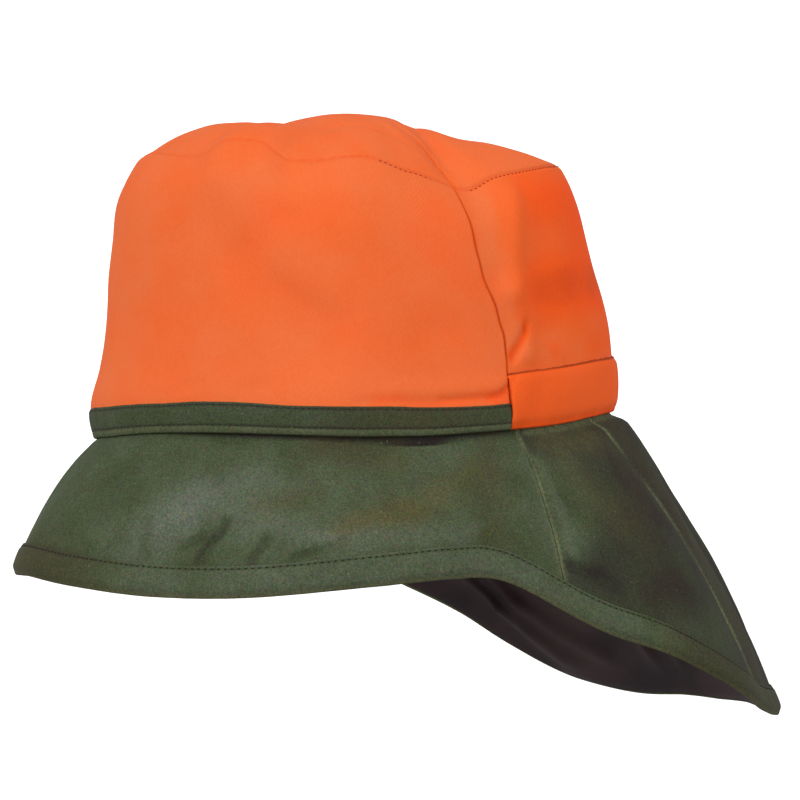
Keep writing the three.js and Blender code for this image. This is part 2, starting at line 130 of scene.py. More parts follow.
# Soft folds of the crown wall: angles and heights, width in degrees, depth as a share of the slack.
WALL_FOLDS = [
    (112.5, 0.30, 110.8, 0.55, 5, 1.1),
    (110.8, 0.55, 115.5, 0.95, 5, 1.1),
    (-112.5, 0.30, -110.8, 0.55, 5, 1.1),
    (-110.8, 0.55, -115.5, 0.95, 5, 1.1),
    (121, 0.40, 123, 0.75, 9, -0.7),
    (38, 0.72, 66, 0.34, 10, -0.9),
    (84, 0.80, 92, 0.42, 9, -0.8),
    (-48, 0.78, -70, 0.36, 11, -0.9),
    (-10, 0.86, -22, 0.45, 10, -0.5),
]

# Soft folds of the top panel: places and width as shares of its half sizes, depth of the slack.
TOP_FOLDS = [
    (0.94, 0.22, 0.20, 0.19, 0.085, -2.0),
    (-0.94, 0.22, -0.30, 0.24, 0.085, -1.8),
    (0.60, -0.30, 0.10, -0.40, 0.13, -1.0),
]

# Edge of the brim round the hat: its place outwards and along, its fall from the front drop to the
# flap's, its belly and shoulder, and how much lower the right side hangs.
BRIM_EDGE = {
    "angle": [0, 20, 40, 60, 80, 90, 100, 110, 117, 123, 129, 134, 138, 150, 163, 172, 180],
    "out": [0.000, 0.360, 0.673, 0.885, 0.977, 0.982, 0.986, 0.995, 1.000, 0.986, 0.945, 0.811,
            0.608, 0.396, 0.258, 0.110, 0.000],
    "along": [-1.000, -0.938, -0.780, -0.547, -0.195, 0.000, 0.108, 0.240, 0.362, 0.475, 0.600,
              0.729, 0.830, 0.921, 0.969, 0.995, 1.000],
    "fall": [0.000, 0.040, 0.083, 0.080, 0.017, -0.017, -0.008, 0.150, 0.300, 0.437, 0.612, 0.786,
             0.917, 0.983, 1.000, 1.000, 0.997],
    "belly": [0.62, 0.56, 0.48, 0.43, 0.43, 0.43, 0.48, 0.60, 0.78, 0.90, 1.00, 1.00, 1.00, 1.00,
              1.00, 1.00, 1.00],
    "shoulder": [0.1, 0.15, 0.15, 0, 0, 0, 0, 0, 0, 0.1, 0.3, 0.5, 0.65, 1, 1, 1, 1],
    "sag": [0, 0, 0, 0, 0, 0, -0.040, -0.100, -0.100, -0.042, 0.036, 0.087, 0.050, -0.015, -0.020,
            -0.020, 0],
}

# Panels of the brim: the seams that they lie between, columns of the mesh, and how pale each is painted:
# below zero on the
#  flap's panels, painted shade where they face away from the light.
BRIM_PANELS = {
    "brim_front": (-BRIM_SIDE_SEAM, BRIM_SIDE_SEAM, 400, 0.0),
    "brim_side_left": (BRIM_SIDE_SEAM, FLAP_SEAM, 90, -0.6),
    "brim_back": (FLAP_SEAM, 360 - FLAP_SEAM, 150, -0.85),
    "brim_side_right": (360 - FLAP_SEAM, 360 - BRIM_SIDE_SEAM, 90, -0.4),
}

# Rows of stitches: their pitch, their length, the thread's radius, how far it sinks into the cloth, and
# which thread it is.
STITCHES = {
    "tip": (2.1, 1.2, 0.26, -0.15, "orange"),
    "casing": (2.6, 1.6, 0.18, 0.12, "bright"),
    "band": (2.4, 1.6, 0.20, 0.02, "green"),
    "hem": (2.5, 1.5, 0.36, -0.10, "green"),
    "seam": (2.4, 1.6, 0.20, 0.05, "olive"),
}
THREADS = {
    "orange": ("dark orange polyester thread", "98380F"),
    "bright": ("bright orange polyester thread", "D9581E"),
    "green": ("dark green polyester thread", "171C12"),
    "olive": ("olive polyester thread", "4C5438"),
}

# Fine creases of the crown wall: angles and heights, width in degrees, depth in millimetres.
WALL_CREASES = [
    (76, 0.118, 107, 0.135, 1.5, -0.4),
    (93, 0.128, 107, 0.142, 1.2, -0.6),
    (84, 0.165, 106, 0.185, 2.6, 0.35),
    (103, 0.125, 108, 0.165, 1.0, -0.5),
    (106, 0.150, 109, 0.200, 1.0, -0.6),
    (113, 0.405, 109.3, 0.285, 1.6, -1.8),
    (116, 0.39, 114, 0.27, 2.6, 0.3),
    (118, 0.33, 124, 0.27, 2.4, 0.5),
    (36, 0.155, 40, 0.165, 2.4, -0.4),
    (52, 0.145, 56, 0.165, 2.4, -0.4),
    (60, 0.95, 74, 0.80, 4.0, -0.4),
    (71, 0.83, 60, 0.78, 4.0, -0.4),
    (60, 0.78, 46, 0.56, 5.0, -0.5),
    (58, 0.53, 73, 0.40, 4.0, -0.4),
    (30, 0.93, 44, 0.84, 5.0, 0.4),
    (-78, 0.125, -104, 0.140, 1.6, -0.6),
]

# Fine creases of the top panel: places as shares of its half sizes, width and depth in millimetres.
TOP_CREASES = [
    (0.53, 0.06, 0.65, 0.12, 1.6, -0.9),
    (0.65, 0.12, 0.80, 0.155, 1.3, -1.7),
    (0.80, 0.155, 1.00, 0.23, 1.1, -1.9),
    (0.55, 0.00, 0.95, 0.12, 4.0, 0.5),
    (0.60, -0.24, 0.86, 0.15, 1.8, -0.35),
    (-0.60, 0.10, -1.00, 0.22, 1.6, -0.9),
]
# The sharp part of the cross fold, along which a dark line of painted shade is drawn.
TOP_TUCK = TOP_CREASES[1:3]  # sharp enough to show as a dark line

# Creases of the brim: angles and shares, width in degrees, depth in millimetres.
BRIM_CREASES = [
    (34, 0.66, 46, 0.44, 4.0, 0.7),
    (46, 0.44, 56, 0.29, 4.0, 0.7),
    (49.3, 0.79, 53.4, 0.53, 1.25, -1.5),
    (52.0, 0.79, 56, 0.55, 1.5, 0.8),
    (44.5, 0.70, 48.8, 0.65, 1.1, -1.1),
    (59.0, 0.79, 61.8, 0.67, 1.15, -1.1),
    (61.0, 0.79, 64, 0.66, 1.4, 0.6),
    (67.0, 0.785, 74, 0.715, 1.15, -1.1),
    (37.8, 0.77, 36, 0.58, 1.3, -0.9),
    (41.5, 0.77, 41, 0.62, 1.2, -0.6),
    (55, 0.52, 72, 0.70, 2.8, 0.6),
    (48.5, 0.50, 66, 0.39, 2.6, -0.5),
    (78, 0.06, 82, 0.20, 4.0, -1.0),
    (102.8, 0.06, 99, 0.84, 2.8, -0.5),
    (107.5, 0.30, 107, 0.80, 2.4, 0.6),
    (112.8, 0.25, 113.6, 0.72, 1.6, 0.7),
    (112.6, 0.77, 117.5, 0.79, 1.4, -1.5),
    (119, 0.72, 122, 0.45, 2.6, -0.9),
    (118, 0.06, 118.6, 0.13, 1.0, -0.7),
    (122, 0.05, 123, 0.12, 1.0, -0.7),
    (126, 0.04, 127, 0.11, 1.0, -0.7),
    (124, 0.25, 129, 0.70, 3.0, -0.7),
    (150, 0.30, 156, 0.90, 5.0, -0.8),
    (-30, 0.40, -48, 0.90, 3.0, -0.7),
    (-70, 0.50, -62, 0.92, 3.0, 0.6),
    (-122, 0.30, -126, 0.80, 3.0, -0.7),
    (-150, 0.30, -160, 0.90, 5.0, 0.7),
]

# Loose folds of the lining, inwards: angles and shares, width in degrees, depth as a share of its slack.
LINING_FOLDS = [
    (-123.5, 0.80, -129, 0.84, 1.6, 1.0),
    (-129, 0.84, -134.5, 0.93, 1.6, 1.2),
    (-127, 0.70, -131, 0.78, 1.4, 0.9),
    (-131, 0.78, -137, 0.88, 1.4, 0.9),
    (-141, 0.70, -146, 0.86, 1.6, 0.9),
    (-147, 0.66, -153, 0.84, 1.8, 0.8),
    (-160, 0.50, -164, 0.80, 2.5, 0.8),
]
LINING_SLACK = 3.2

# Where the cloth's colour is painted paler and darker: angles and heights or shares, width in degrees,
# how much paler it is painted there, and how much of its undertone shows. Paler is partly the cloth's
# bloom and partly painted sheen where light falls;
# darker, below zero, is painted shade in creases and on parts that face away from the light.
CROWN_WEAR_AND_LIGHT = [
    (105, 0.97, 106, 0.55, 4.5, 0.8, 0),
    (106, 0.55, 111, 0.30, 3.5, 0.8, 0),
    (118, 0.30, 122, 0.34, 4.0, 0.5, 0),
    (121, 0.53, 165, 0.55, 11, -0.7, 1.0),
    (124, 0.88, 150, 0.84, 11, -0.3, 1.0),
    (138, 0.28, 155, 0.30, 5, -0.4, 0.4),
    (120.5, 0.31, 122, 0.29, 2.5, -0.4, 0.3),
    (150, 0.60, 180, 0.50, 20, 0, 0.5),
    (-140, 0.70, -180, 0.50, 20, -0.2, 0.4),
    (-120, 0.85, -128, 0.45, 8, -0.2, 0.5),
    (-113, 0.40, -109.5, 0.28, 1.4, -0.9, 0.5),
    (72, 0.83, 58, 0.76, 6, 0, 0.20),
    (58, 0.76, 47, 0.54, 7, 0, 0.20),
    (58, 0.53, 73, 0.40, 6, 0, 0.16),
    (92, 0.47, 97, 0.42, 5, 0, 0.14),
    (76, 0.36, 87, 0.26, 6, 0, 0.12),
    (92, 0.86, 99, 0.80, 5, 0, 0.25),
    (90, 0.74, 103, 0.58, 6, 0, 0.30),
    (80, 0.118, 108, 0.130, 2.2, 0, 0.5),
    (113, 0.40, 109.5, 0.28, 1.4, -0.9, 0.5),
    (104, 0.140, 108, 0.180, 1.6, 0, 0.6),
]
BRIM_WEAR_AND_LIGHT = [
    (36, 0.62, 45.5, 0.43, 7, 0.45, 0),
    (45.5, 0.41, 55, 0.29, 6, 0.55, 0),
    (33, 0.75, 42, 0.58, 7, 0.35, 0),
    (55, 0.50, 72, 0.70, 5, 0.45, 0),
    (73, 0.67, 96, 0.70, 4.0, 0.45, 0),
    (62, 0.33, 70, 0.25, 5, 0.30, 0),
    (88, 0.15, 95, 0.12, 6, 0.25, 0),
    (112.6, 0.18, 113.6, 0.74, 2.4, 0.55, 0),
    (114, 0.60, 115, 0.30, 6, 0.35, 0),
    (118, 0.75, 121, 0.60, 4, -0.25, 0),
    (136, 0.06, 134, 0.30, 4, -0.9, 0),
    (117, 0.50, 122, 0.74, 3.5, 0.1, 0),
    (119, 0.20, 121, 0.40, 5, 0.25, 0.2),
    (127, 0.45, 132, 0.25, 5, -0.3, 0.2),
    (128, 0.85, 134, 0.80, 4, 0.3, 0),
    (74, 0.60, 84, 0.53, 3.4, 0, 0.8),
    (84, 0.53, 98, 0.26, 5.0, 0, 0.6),
    (60, 0.45, 67, 0.40, 4.0, 0, 0.35),
    (68, 0.05, 84, 0.12, 5.0, -0.3, 0.4),
    (103, 0.05, 99, 0.84, 4.5, -0.2, 0.3),
    (49.3, 0.79, 53.4, 0.53, 1.6, -0.6, 0),
    (59.0, 0.79, 61.8, 0.67, 1.6, -0.5, 0),
    (67.0, 0.785, 74, 0.715, 1.6, -0.5, 0),
    (44.5, 0.70, 48.8, 0.65, 1.6, -0.5, 0),
    (37.8, 0.77, 36, 0.58, 1.8, -0.4, 0),
    (113, 0.77, 117.5, 0.79, 1.8, -0.5, 0),
    (10, 0.92, -14, 0.92, 6.0, -0.4, 0.5),
    (116, 0.05, 134, 0.08, 3.0, 0, 0.5),
    (124, 0.78, 129, 0.68, 4.5, -0.4, 0.15),
    (134.5, 0.30, 136, 0.85, 2.6, -0.4, 0),
    (122, 0.30, 124, 0.50, 6, -0.1, 0.15),
    (143, 0.05, 145, 0.95, 9, -0.15, 0.35),
    (-46, 0.60, -62, 0.35, 7, 0.45, 0),
    (-84, 0.45, -98, 0.60, 6, 0, 0.7),
    (-143, 0.05, -145, 0.95, 9, 0, 0.2),
    (168, 0.40, 180, 0.80, 9, 0.3, 0),
    (-168, 0.40, -180, 0.80, 9, 0.3, 0),
]


def smooth_step(value):
    k = np.clip(value, 0, 1)
    return k * k * (3 - 2 * k)


def hump(value, width):
    """One at zero, falling softly away on both sides."""
    return np.exp(-((value / width) ** 2))


def read_table(table, key, column, at, mirror=0):
    """Smooth curve through a table's column. A round table goes on past its ends as a mirror image,
    with the sign given: 1 for even, -1 for odd."""
    place = np.array(table[key], float)
    value = np.array(table[column], float)
    first, last = mirror * value[1], mirror * value[-2]
    if mirror == 0:
        first, last = 2 * value[0] - value[1], 2 * value[-1] - value[-2]
    at = np.asarray(at, float)
    i = np.searchsorted(place[1:-1], at)
    place = np.concatenate([[2 * place[0] - place[1]], place, [2 * place[-1] - place[-2]]])
    value = np.concatenate([[first], value, [last]])
    step = place[i + 2] - place[i + 1]
    slope_a = (value[i + 2] - value[i]) / (place[i + 2] - place[i])
    slope_b = (value[i + 3] - value[i + 1]) / (place[i + 3] - place[i + 1])
    u = (at - place[i + 1]) / step
    return ((2 * u**3 - 3 * u**2 + 1) * value[i + 1] + (u**3 - 2 * u**2 + u) * step * slope_a
            + (3 * u**2 - 2 * u**3) * value[i + 2] + (u**3 - u**2) * step * slope_b)


def wrap_angle(angle):
    """The same angle between -180 and 180 degrees."""
    return angle - 360 * np.round(angle / 360)


def from_front(angle):
    """Degrees from the front, alike on both sides."""
    return np.abs(wrap_angle(angle))


def calm_behind(angle):
    return smooth_step((180 - from_front(angle)) / CALM)


def fold_weight(x, y, x0, y0, x1, y1, width, stretch=1):
    """How near a place is to a fold's line: 1 on it, falling to nothing at its width."""
    dx, dy = x1 - x0, (y1 - y0) * stretch
    px, py = x - x0, (y - y0) * stretch
    near = np.clip((px * dx + py * dy) / (dx * dx + dy * dy), 0, 1)
    distance = np.hypot(px - near * dx, py - near * dy)
    return np.exp(-2 * (distance / width) ** 2)


def folds(table, x, y, stretch=1):
    """How far a table's folds push a place outwards."""
    return sum(depth * fold_weight(x, y, *line, width, stretch) for *line, width, depth in table)


def wear_and_light(table, angle, share, stretch, bloom_and_light, rub_and_reflection=0):
    """Bloom and painted light of a cloth, from -1 where it is painted dark, as painted shade, to 1 where
    it is pale, partly its bloom and partly painted sheen; then its undertone, and its rubbed edge with
    painted reflection, each from 0 to 1. The painted places wander a little from their lines."""
    angle, share, rub_and_reflection = np.broadcast_arrays(np.asarray(angle, float), share, rub_and_reflection)
    angle = wrap_angle(angle)
    x, y = angle * MM_PER_DEGREE, share * stretch * MM_PER_DEGREE
    calm = calm_behind(angle)
    angle = angle + calm * (0.5 * ripple(x, y, 9, 16) + 0.25 * ripple(x, y, 4, 17))
    share = share + calm * (0.5 * ripple(x, y, 9, 18) + 0.25 * ripple(x, y, 4, 19)) / stretch
    deep = 0
    for *line, width, paler, deeper in table:
        near = fold_weight(angle, share, *line, width, stretch)
        bloom_and_light = bloom_and_light + paler * near
        deep = deep + deeper * near
    bloom_and_light = bloom_and_light + 0.08 * calm * ripple(x, y, 18, 20)
    return np.stack(np.broadcast_arrays(np.clip(bloom_and_light, -1, 1), np.clip(deep, 0, 1), rub_and_reflection), -1)


def ripple(x, y, size, seed):
    """Cloud-like unevenness of about one either way, with lumps of a size in millimetres."""
    rng = np.random.default_rng(seed)
    total = 0
    waves = 14
    for turn, pitch, start in rng.random((waves, 3)):
        reach = 2 * np.pi / (size * (1.2 + 1.6 * pitch))
        heading = 2 * np.pi * turn
        total = total + np.cos(reach * (x * np.cos(heading) + y * np.sin(heading)) + 6.3 * start)
    return total / waves**0.5


def length_of(vectors):
    return np.linalg.norm(vectors, axis=-1, keepdims=True)


def crown_point(angle, height):
    """Outside of the crown wall, without its fine relief."""
    angle, height = np.broadcast_arrays(np.asarray(angle, float), np.asarray(height, float))
    signed = wrap_angle(angle)
    power = 2 / read_table(CROWN_RINGS, "height", "square", height)
    cos, sin = np.cos(np.radians(signed)), np.sin(np.radians(signed))
    front = read_table(CROWN_RINGS, "height", "front", height)
    back = read_table(CROWN_RINGS, "height", "back", height)
    side = read_table(CROWN_RINGS, "height", "side", height)
    x = HALF_BREADTH * side * np.sign(sin) * np.abs(sin) ** power
    y = -HALF_LENGTH * np.where(cos > 0, front, back) * np.sign(cos) * np.abs(cos) ** power
    push = SLACK * folds(WALL_FOLDS, signed, height, DEGREES_PER_HEIGHT)
    push = push * smooth_step((1 - height) / 0.08) * smooth_step(height / 0.12)
    away = np.hypot(x, y)
    middle, spread, lift = BROW_LUMP
    lump = lift * np.exp(-(((signed - middle) / spread) ** 4))
    around = np.abs(signed)
    dip = np.where(signed < 0, read_table(CROWN_EDGES, "angle", "dip", around, 1), 0)
    foot = read_table(CROWN_EDGES, "angle", "foot", around, 1) - dip
    seam = read_table(CROWN_EDGES, "angle", "seam", around, 1) + lump
    z = CROWN_HEIGHT * (foot + (seam - foot) * height)
    return np.stack([x * (1 + push / away), y * (1 + push / away), z], -1)


def crown_normal(angle, height):
    low = np.minimum(height, 0.98)
    across = crown_point(angle + 0.5, low) - crown_point(angle - 0.5, low)
    up = crown_point(angle, low + 0.02) - crown_point(angle, np.maximum(low - 0.02, 0))
    normal = np.cross(across, up)
    return normal / length_of(normal)


def crown_relief(angle, height):
    """Fine creases and unevenness of the crown wall, in millimetres outwards."""
    signed = wrap_angle(angle)
    x, y = signed * MM_PER_DEGREE, height * CROWN_HEIGHT
    uneven = 0.22 * ripple(x, y, 30, 3) + 0.07 * ripple(x, y, 11, 4)
    calm = smooth_step((1 - height) / 0.06) * calm_behind(angle)
    return folds(WALL_CREASES, signed, height, DEGREES_PER_HEIGHT) + uneven * calm


def crown_wall(angle, height, distance):
    """A point at some distance outside the crown wall, with its fine relief."""
    angle, height = np.broadcast_arrays(np.asarray(angle, float), np.asarray(height, float))
    reach = np.asarray(distance + crown_relief(angle, height))[..., None]
    return crown_point(angle, height) + crown_normal(angle, height) * reach


def tuck_weight(x, y, line, width):
    """How near a place on the top panel, in millimetres, is to a line given as shares."""
    x0, y0, x1, y1 = line
    ends = (x0 * TOP_HALF_BREADTH, y0 * TOP_HALF_LENGTH, x1 * TOP_HALF_BREADTH, y1 * TOP_HALF_LENGTH)
    return fold_weight(x, y, *ends, width)


def top_point(angle, share):
    """Top of the dome, from the seam (share 1) to the middle (share 0)."""
    seam = crown_point(angle, np.ones_like(share))
    x, y = seam[..., 0] * share, seam[..., 1] * share
    along = np.clip(y / TOP_HALF_LENGTH, -1, 1)
    ridge = CROWN_HEIGHT + DOME_RISE * read_table(TOP_RIDGE, "along", "rise", along)
    to_seam = share ** (2.6 + 3.4 * np.cos(np.radians(angle)) ** 2)
    z = seam[..., 2] * to_seam + ridge * (1 - to_seam)
    soft = folds(TOP_FOLDS, x / TOP_HALF_BREADTH, y / TOP_HALF_LENGTH)
    z = z + SLACK * (1 - share**6) * soft
    for *line, width, depth in TOP_CREASES:
        z = z + depth * (1 - share**40) * tuck_weight(x, y, line, width)
    z = z + (0.25 * ripple(x, y, 26, 5) + 0.07 * ripple(x, y, 10, 6)) * (1 - share**8)
    return np.stack([x, y, z], -1)


def crease_angle(height):
    """Where the wrap's rear edge lies, in degrees from the front."""
    wander = 0.13 * ripple(np.asarray(height) * CROWN_HEIGHT, 0, 7, 14)
    return read_table(CREASE, "height", "angle", height) + wander


def wrap_lift(angle, height):
    """How far the wrap is lifted near its rear edge, where it lies on the back panel."""
    start = crease_angle(height) - 2 * CREASE_OVERLAP
    rise = (from_front(angle) - start) / (1.4 * CREASE_OVERLAP)
    return (CROWN_CLOTH + LAYER_GAP - BACK_SINK) * smooth_step(rise)


def back_sink(angle, height):
    """How far the back panel dips where it goes under the wrap."""
    under = crease_angle(height) + 0.6 - from_front(angle)
    return BACK_SINK * smooth_step(under / 0.6)


def collar_point(angle, rise, inset=COLLAR_INSET):
    """A point of the brim's collar: inside the crown wall above its foot, straight down below it."""
    height = np.maximum(rise, 0) / CROWN_HEIGHT
    point = crown_point(angle, height) - crown_normal(angle, height) * inset
    point[..., 2] += np.minimum(rise, 0)
    return point


def brim_gap(angle):
    """How much the brim gapes under the band."""
    around = from_front(angle)
    return 1.3 * hump(around - 88, 13) + 0.7 * hump(around - 52, 12)


def collar_foot(angle):
    """How far the collar goes below the crown's foot before the brim turns outwards."""
    around = from_front(angle)
    shoulder = read_table(BRIM_EDGE, "angle", "shoulder", around, 1)
    front = smooth_step((45 - around) / 25)
    return COLLAR_DROP - FLAP_LIFT * shoulder - FRONT_LIFT * front + brim_gap(angle)


def brim_point(angle, share):
    """Outside of the brim, from the foot of its collar (share 0) to its edge (share 1)."""
    angle, share = np.broadcast_arrays(np.asarray(angle, float), np.asarray(share, float))
    signed = wrap_angle(angle)
    start = collar_point(angle, -collar_foot(angle))
    row = {
        column: read_table(BRIM_EDGE, "angle", column, np.abs(signed), -1 if column == "out" else 1)
        for column in ("out", "along", "fall", "belly", "shoulder", "sag")
    }
    sag = np.where(signed < 0, row["sag"], 0)
    behind = np.maximum(row["along"], 0) * (HALF_LENGTH + FLAP_REACH)
    ahead = np.minimum(row["along"], 0) * (HALF_LENGTH + BRIM_REACH)
    edge = np.stack([
        np.sign(signed) * row["out"] * (HALF_BREADTH + BRIM_SIDE_REACH),
        ahead + behind,
        -BRIM_DROP - (FLAP_DROP - BRIM_DROP) * (row["fall"] + sag),
    ], -1)
    run = edge - start
    flat = np.hypot(run[..., 0], run[..., 1])
    bow = np.stack([
        -run[..., 2] * run[..., 0] / flat,
        -run[..., 2] * run[..., 1] / flat,
        flat,
    ], -1)
    belly = BRIM_BELLY * row["belly"] * 4 * share * (1 - share)
    shoulder = FLAP_SHOULDER * row["shoulder"] * smooth_step(share / 0.06) * (1 - share) ** 3
    return start + run * share[..., None] + bow / length_of(bow) * (belly + shoulder)[..., None]


def brim_normal(angle, share):
    low = np.clip(share, 0.03, 0.97)
    across = brim_point(angle + 0.5, low) - brim_point(angle - 0.5, low)
    down = brim_point(angle, low + 0.03) - brim_point(angle, low - 0.03)
    normal = np.cross(down, across)
    return normal / length_of(normal)


def brim_relief(angle, share):
    """Creases and unevenness of the brim, in millimetres outwards, the same in all its layers."""
    signed = wrap_angle(angle)
    x, y = signed * MM_PER_DEGREE * (1 + BRIM_SPREAD * share), share * BRIM_RUN
    near_hem = smooth_step((share - 0.45) / 0.4)
    puckers = 0.10 * near_hem * ripple(x, 0.25 * y, 7, 8)
    uneven = 0.26 * ripple(x, y, 24, 7) + 0.05 * ripple(x, y, 7, 15) + puckers
    in_hem = 1 - 0.8 * smooth_step((share - 0.76) / 0.10)
    calm = calm_behind(angle) * smooth_step(share / 0.12)
    return (folds(BRIM_CREASES, signed, share, DEGREES_PER_SHARE) + uneven) * in_hem * calm


def brim_wall(angle, share, distance):
    """A point at some distance outside the brim, with its creases."""
    angle, share = np.broadcast_arrays(np.asarray(angle, float), np.asarray(share, float))
    reach = np.asarray(distance + brim_relief(angle, share))[..., None]
    return brim_point(angle, share) + brim_normal(angle, share) * reach


def share_from_edge(angle, width):
    """The share at a width in from the brim's edge, which hangs lower under the ears."""
    slack = HEM_SLACK * hump(from_front(angle) - 116, 7)
    run = brim_point(angle, np.zeros_like(angle)) - brim_point(angle, np.ones_like(angle))
    return 1 - (width - slack) / length_of(run)[..., 0]


def round_angles(count):
    return np.linspace(0, 360, count + 1)[:-1, None]


def near_ends(low, high, count, crowding=2.0):
    """Values between two ends, closer together near both of them."""
    t = np.linspace(-1, 1, count)
    bent = np.sin(np.pi / 2 * t) * (1 - 1 / crowding) + t / crowding
    return low + (high - low) * (bent + 1) / 2


def make_piece(name, points, faces, cloth_mm, worn_and_lit, material):
    """A mesh piece of the hat. Each point keeps its place on the flat cloth, and its wear with its
    painted light and shade.
    """
    mesh = bpy.data.meshes.new(name)
    mesh.from_pydata((points * 0.001).tolist(), [], faces)
    mesh.shade_smooth()
    for attribute, values in (("cloth_mm", cloth_mm), ("worn_and_lit", worn_and_lit)):
        place = mesh.attributes.new(attribute, "FLOAT_VECTOR", "POINT")
        place.data.foreach_set("vector", values.astype(np.float32).ravel())
    mesh.materials.append(material)
    piece = bpy.data.objects.new(name, mesh)
    bpy.context.scene.collection.objects.link(piece)
    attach(piece, "root")
    return piece


def rounded_end(outer, inner, before):
    """Points halfway between two layers' ends, pushed out past them so that the edge is round."""
    along = outer - before
    along = along / np.maximum(length_of(along), 1e-6)
    return (outer + inner) / 2 + along * np.minimum(length_of(outer - inner) * 0.42, 0.5)


def closed_cloth(name, outer, inner, cloth_mm, worn_and_lit, material, ring=False, pole=False):
    """One closed piece between an outer and an inner grid of points, both columns by rows by 3,
    with rounded edges. A ring's last column joins its first; a pole ends every column in one
    point."""
    columns, rows = outer.shape[:2]
    count = columns * rows
    top = rounded_end(outer[:, -1], inner[:, -1], outer[:, -2])
    foot = rounded_end(outer[:, 0], inner[:, 0], outer[:, 1])
    left = rounded_end(outer[0], inner[0], outer[1])
    right = rounded_end(outer[-1], inner[-1], outer[-2])
    points = np.concatenate([outer.reshape(-1, 3), inner.reshape(-1, 3), top, foot, left, right])
    flat = np.concatenate([cloth_mm, np.zeros(cloth_mm.shape[:2] + (1,))], -1)
    places, worn_and_lit = (
        np.concatenate([
            grid.reshape(-1, 3), grid.reshape(-1, 3), grid[:, -1], grid[:, 0], grid[0], grid[-1],
        ])
        for grid in (flat, worn_and_lit)
    )
    out = np.arange(count).reshape(columns, rows)
    back = out + count
    top_ids = 2 * count + np.arange(columns)
    foot_ids = top_ids + columns
    left_ids = 2 * count + 2 * columns + np.arange(rows)
    right_ids = left_ids + rows
    if pole:
        out[:, -1] = out[0, -1]
        back[:, -1] = back[0, -1]
    quads = []

    def join(a, b, c, d):
        quads.append(np.stack([a, b, c, d], -1).reshape(-1, 4))

    here = slice(None) if ring else slice(0, -1)
    near = np.arange(columns)[here]
    far = (near + 1) % columns
    join(out[near, :-1], out[far, :-1], out[far, 1:], out[near, 1:])
    join(back[near, :-1], back[near, 1:], back[far, 1:], back[far, :-1])
    join(foot_ids[near], foot_ids[far], out[far, 0], out[near, 0])
    join(back[near, 0], back[far, 0], foot_ids[far], foot_ids[near])
    if not pole:
        join(out[near, -1], out[far, -1], top_ids[far], top_ids[near])
        join(top_ids[near], top_ids[far], back[far, -1], back[near, -1])
    if not ring:
        for end, middle, turn in ((0, left_ids, 1), (-1, right_ids, -1)):
            a, b, c, d = out[end, :-1], out[end, 1:], middle[1:], middle[:-1]
            join(*(a, b, c, d)[::turn])
            a, b, c, d = middle[:-1], middle[1:], back[end, 1:], back[end, :-1]
            join(*(a, b, c, d)[::turn])
            corners = (
                (out[end, 0], middle[0], back[end, 0], foot_ids[end]),
                (out[end, -1], top_ids[end], back[end, -1], middle[-1]),
            )
            for corner in corners:
                quads.append(np.array([corner[::turn]]))
    quads = np.concatenate(quads)
    flat_ends = quads[:, [0, 1, 2, 3]] == quads[:, [1, 2, 3, 0]]
    whole = quads[~flat_ends.any(1)].tolist()
    thirds = [list(dict.fromkeys(row)) for row in quads[flat_ends.any(1)].tolist()]
    piece = make_piece(f"{name}_cloth", points, whole + thirds, places, worn_and_lit, material)
    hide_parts(name)
    return piece


def wall_places(angles, heights):
    """Places on the crown's flat cloth, in millimetres."""
    x = wrap_angle(angles) * MM_PER_DEGREE
    return np.stack(np.broadcast_arrays(x, heights * CROWN_HEIGHT), -1)


def brim_places(angles, shares):
    """Places on the brim's flat cloth, in millimetres."""
    x = angles * MM_PER_DEGREE * (1 + BRIM_SPREAD * shares)
    return np.stack(np.broadcast_arrays(x, shares * BRIM_RUN), -1)


def seam_roll(from_seam, depth=0.8, width=1.1):
    """How far a cloth's edge rolls in where it is sewn to another."""
    return depth * hump(from_seam, width)


def crown_wrap(material):
    """Front and sides of the crown, with painted shade as a dark line along its rear edge."""
    heights = near_ends(BAND_FOOT / CROWN_HEIGHT, 1, 90, 3)[None, :]
    across = near_ends(-1, 1, 350, 3)[:, None]
    angles = across * crease_angle(heights)
    lift = wrap_lift(angles, heights)
    roll = seam_roll((1 - heights) * CROWN_HEIGHT)
    outer = crown_wall(angles, heights, lift - roll)
    inner = crown_wall(angles, heights, lift - roll - CROWN_CLOTH)
    # Painted pale all over: a painted sheen on the wrap, which faces the light.
    worn_and_lit = wear_and_light(CROWN_WEAR_AND_LIGHT, angles, heights, DEGREES_PER_HEIGHT, 0.85)
    # Painted shade: a dark line along the rear edge, in the crack where it lies on the back panel.
    from_edge = (crease_angle(heights) - np.abs(angles)) * MM_PER_DEGREE
    width = 0.45 + 0.3 * smooth_step((heights - 0.35) / 0.3)
    worn_and_lit[..., 0] -= 1.6 * hump(from_edge, width)
    return closed_cloth("crown_wrap", outer, inner, wall_places(angles, heights), worn_and_lit, material)


def crown_back(material):
    """Back of the crown. Both its sides go under the wrap."""
    heights = near_ends(0, 1, 90, 3)[None, :]
    across = near_ends(0, 1, 300, 3)[:, None]
    start = crease_angle(heights) - CREASE_OVERLAP
    angles = start + (360 - 2 * start) * across
    roll = seam_roll((1 - heights) * CROWN_HEIGHT) + back_sink(angles, heights)
    outer = crown_wall(angles, heights, -roll)
    inner = crown_wall(angles, heights, -roll - CROWN_CLOTH)
    # Less pale than the wrap: painted shade on the back, which faces away from the light.
    worn_and_lit = wear_and_light(CROWN_WEAR_AND_LIGHT, angles, heights, DEGREES_PER_HEIGHT, 0.45)
    return closed_cloth("crown_back", outer, inner, wall_places(angles, heights), worn_and_lit, material)


def casing_angles(heights, across):
    """Angles of the casing, which starts just behind the wrap's rear edge on both sides."""
    start = crease_angle(heights) + 0.3
    return start + (360 - 2 * start) * across


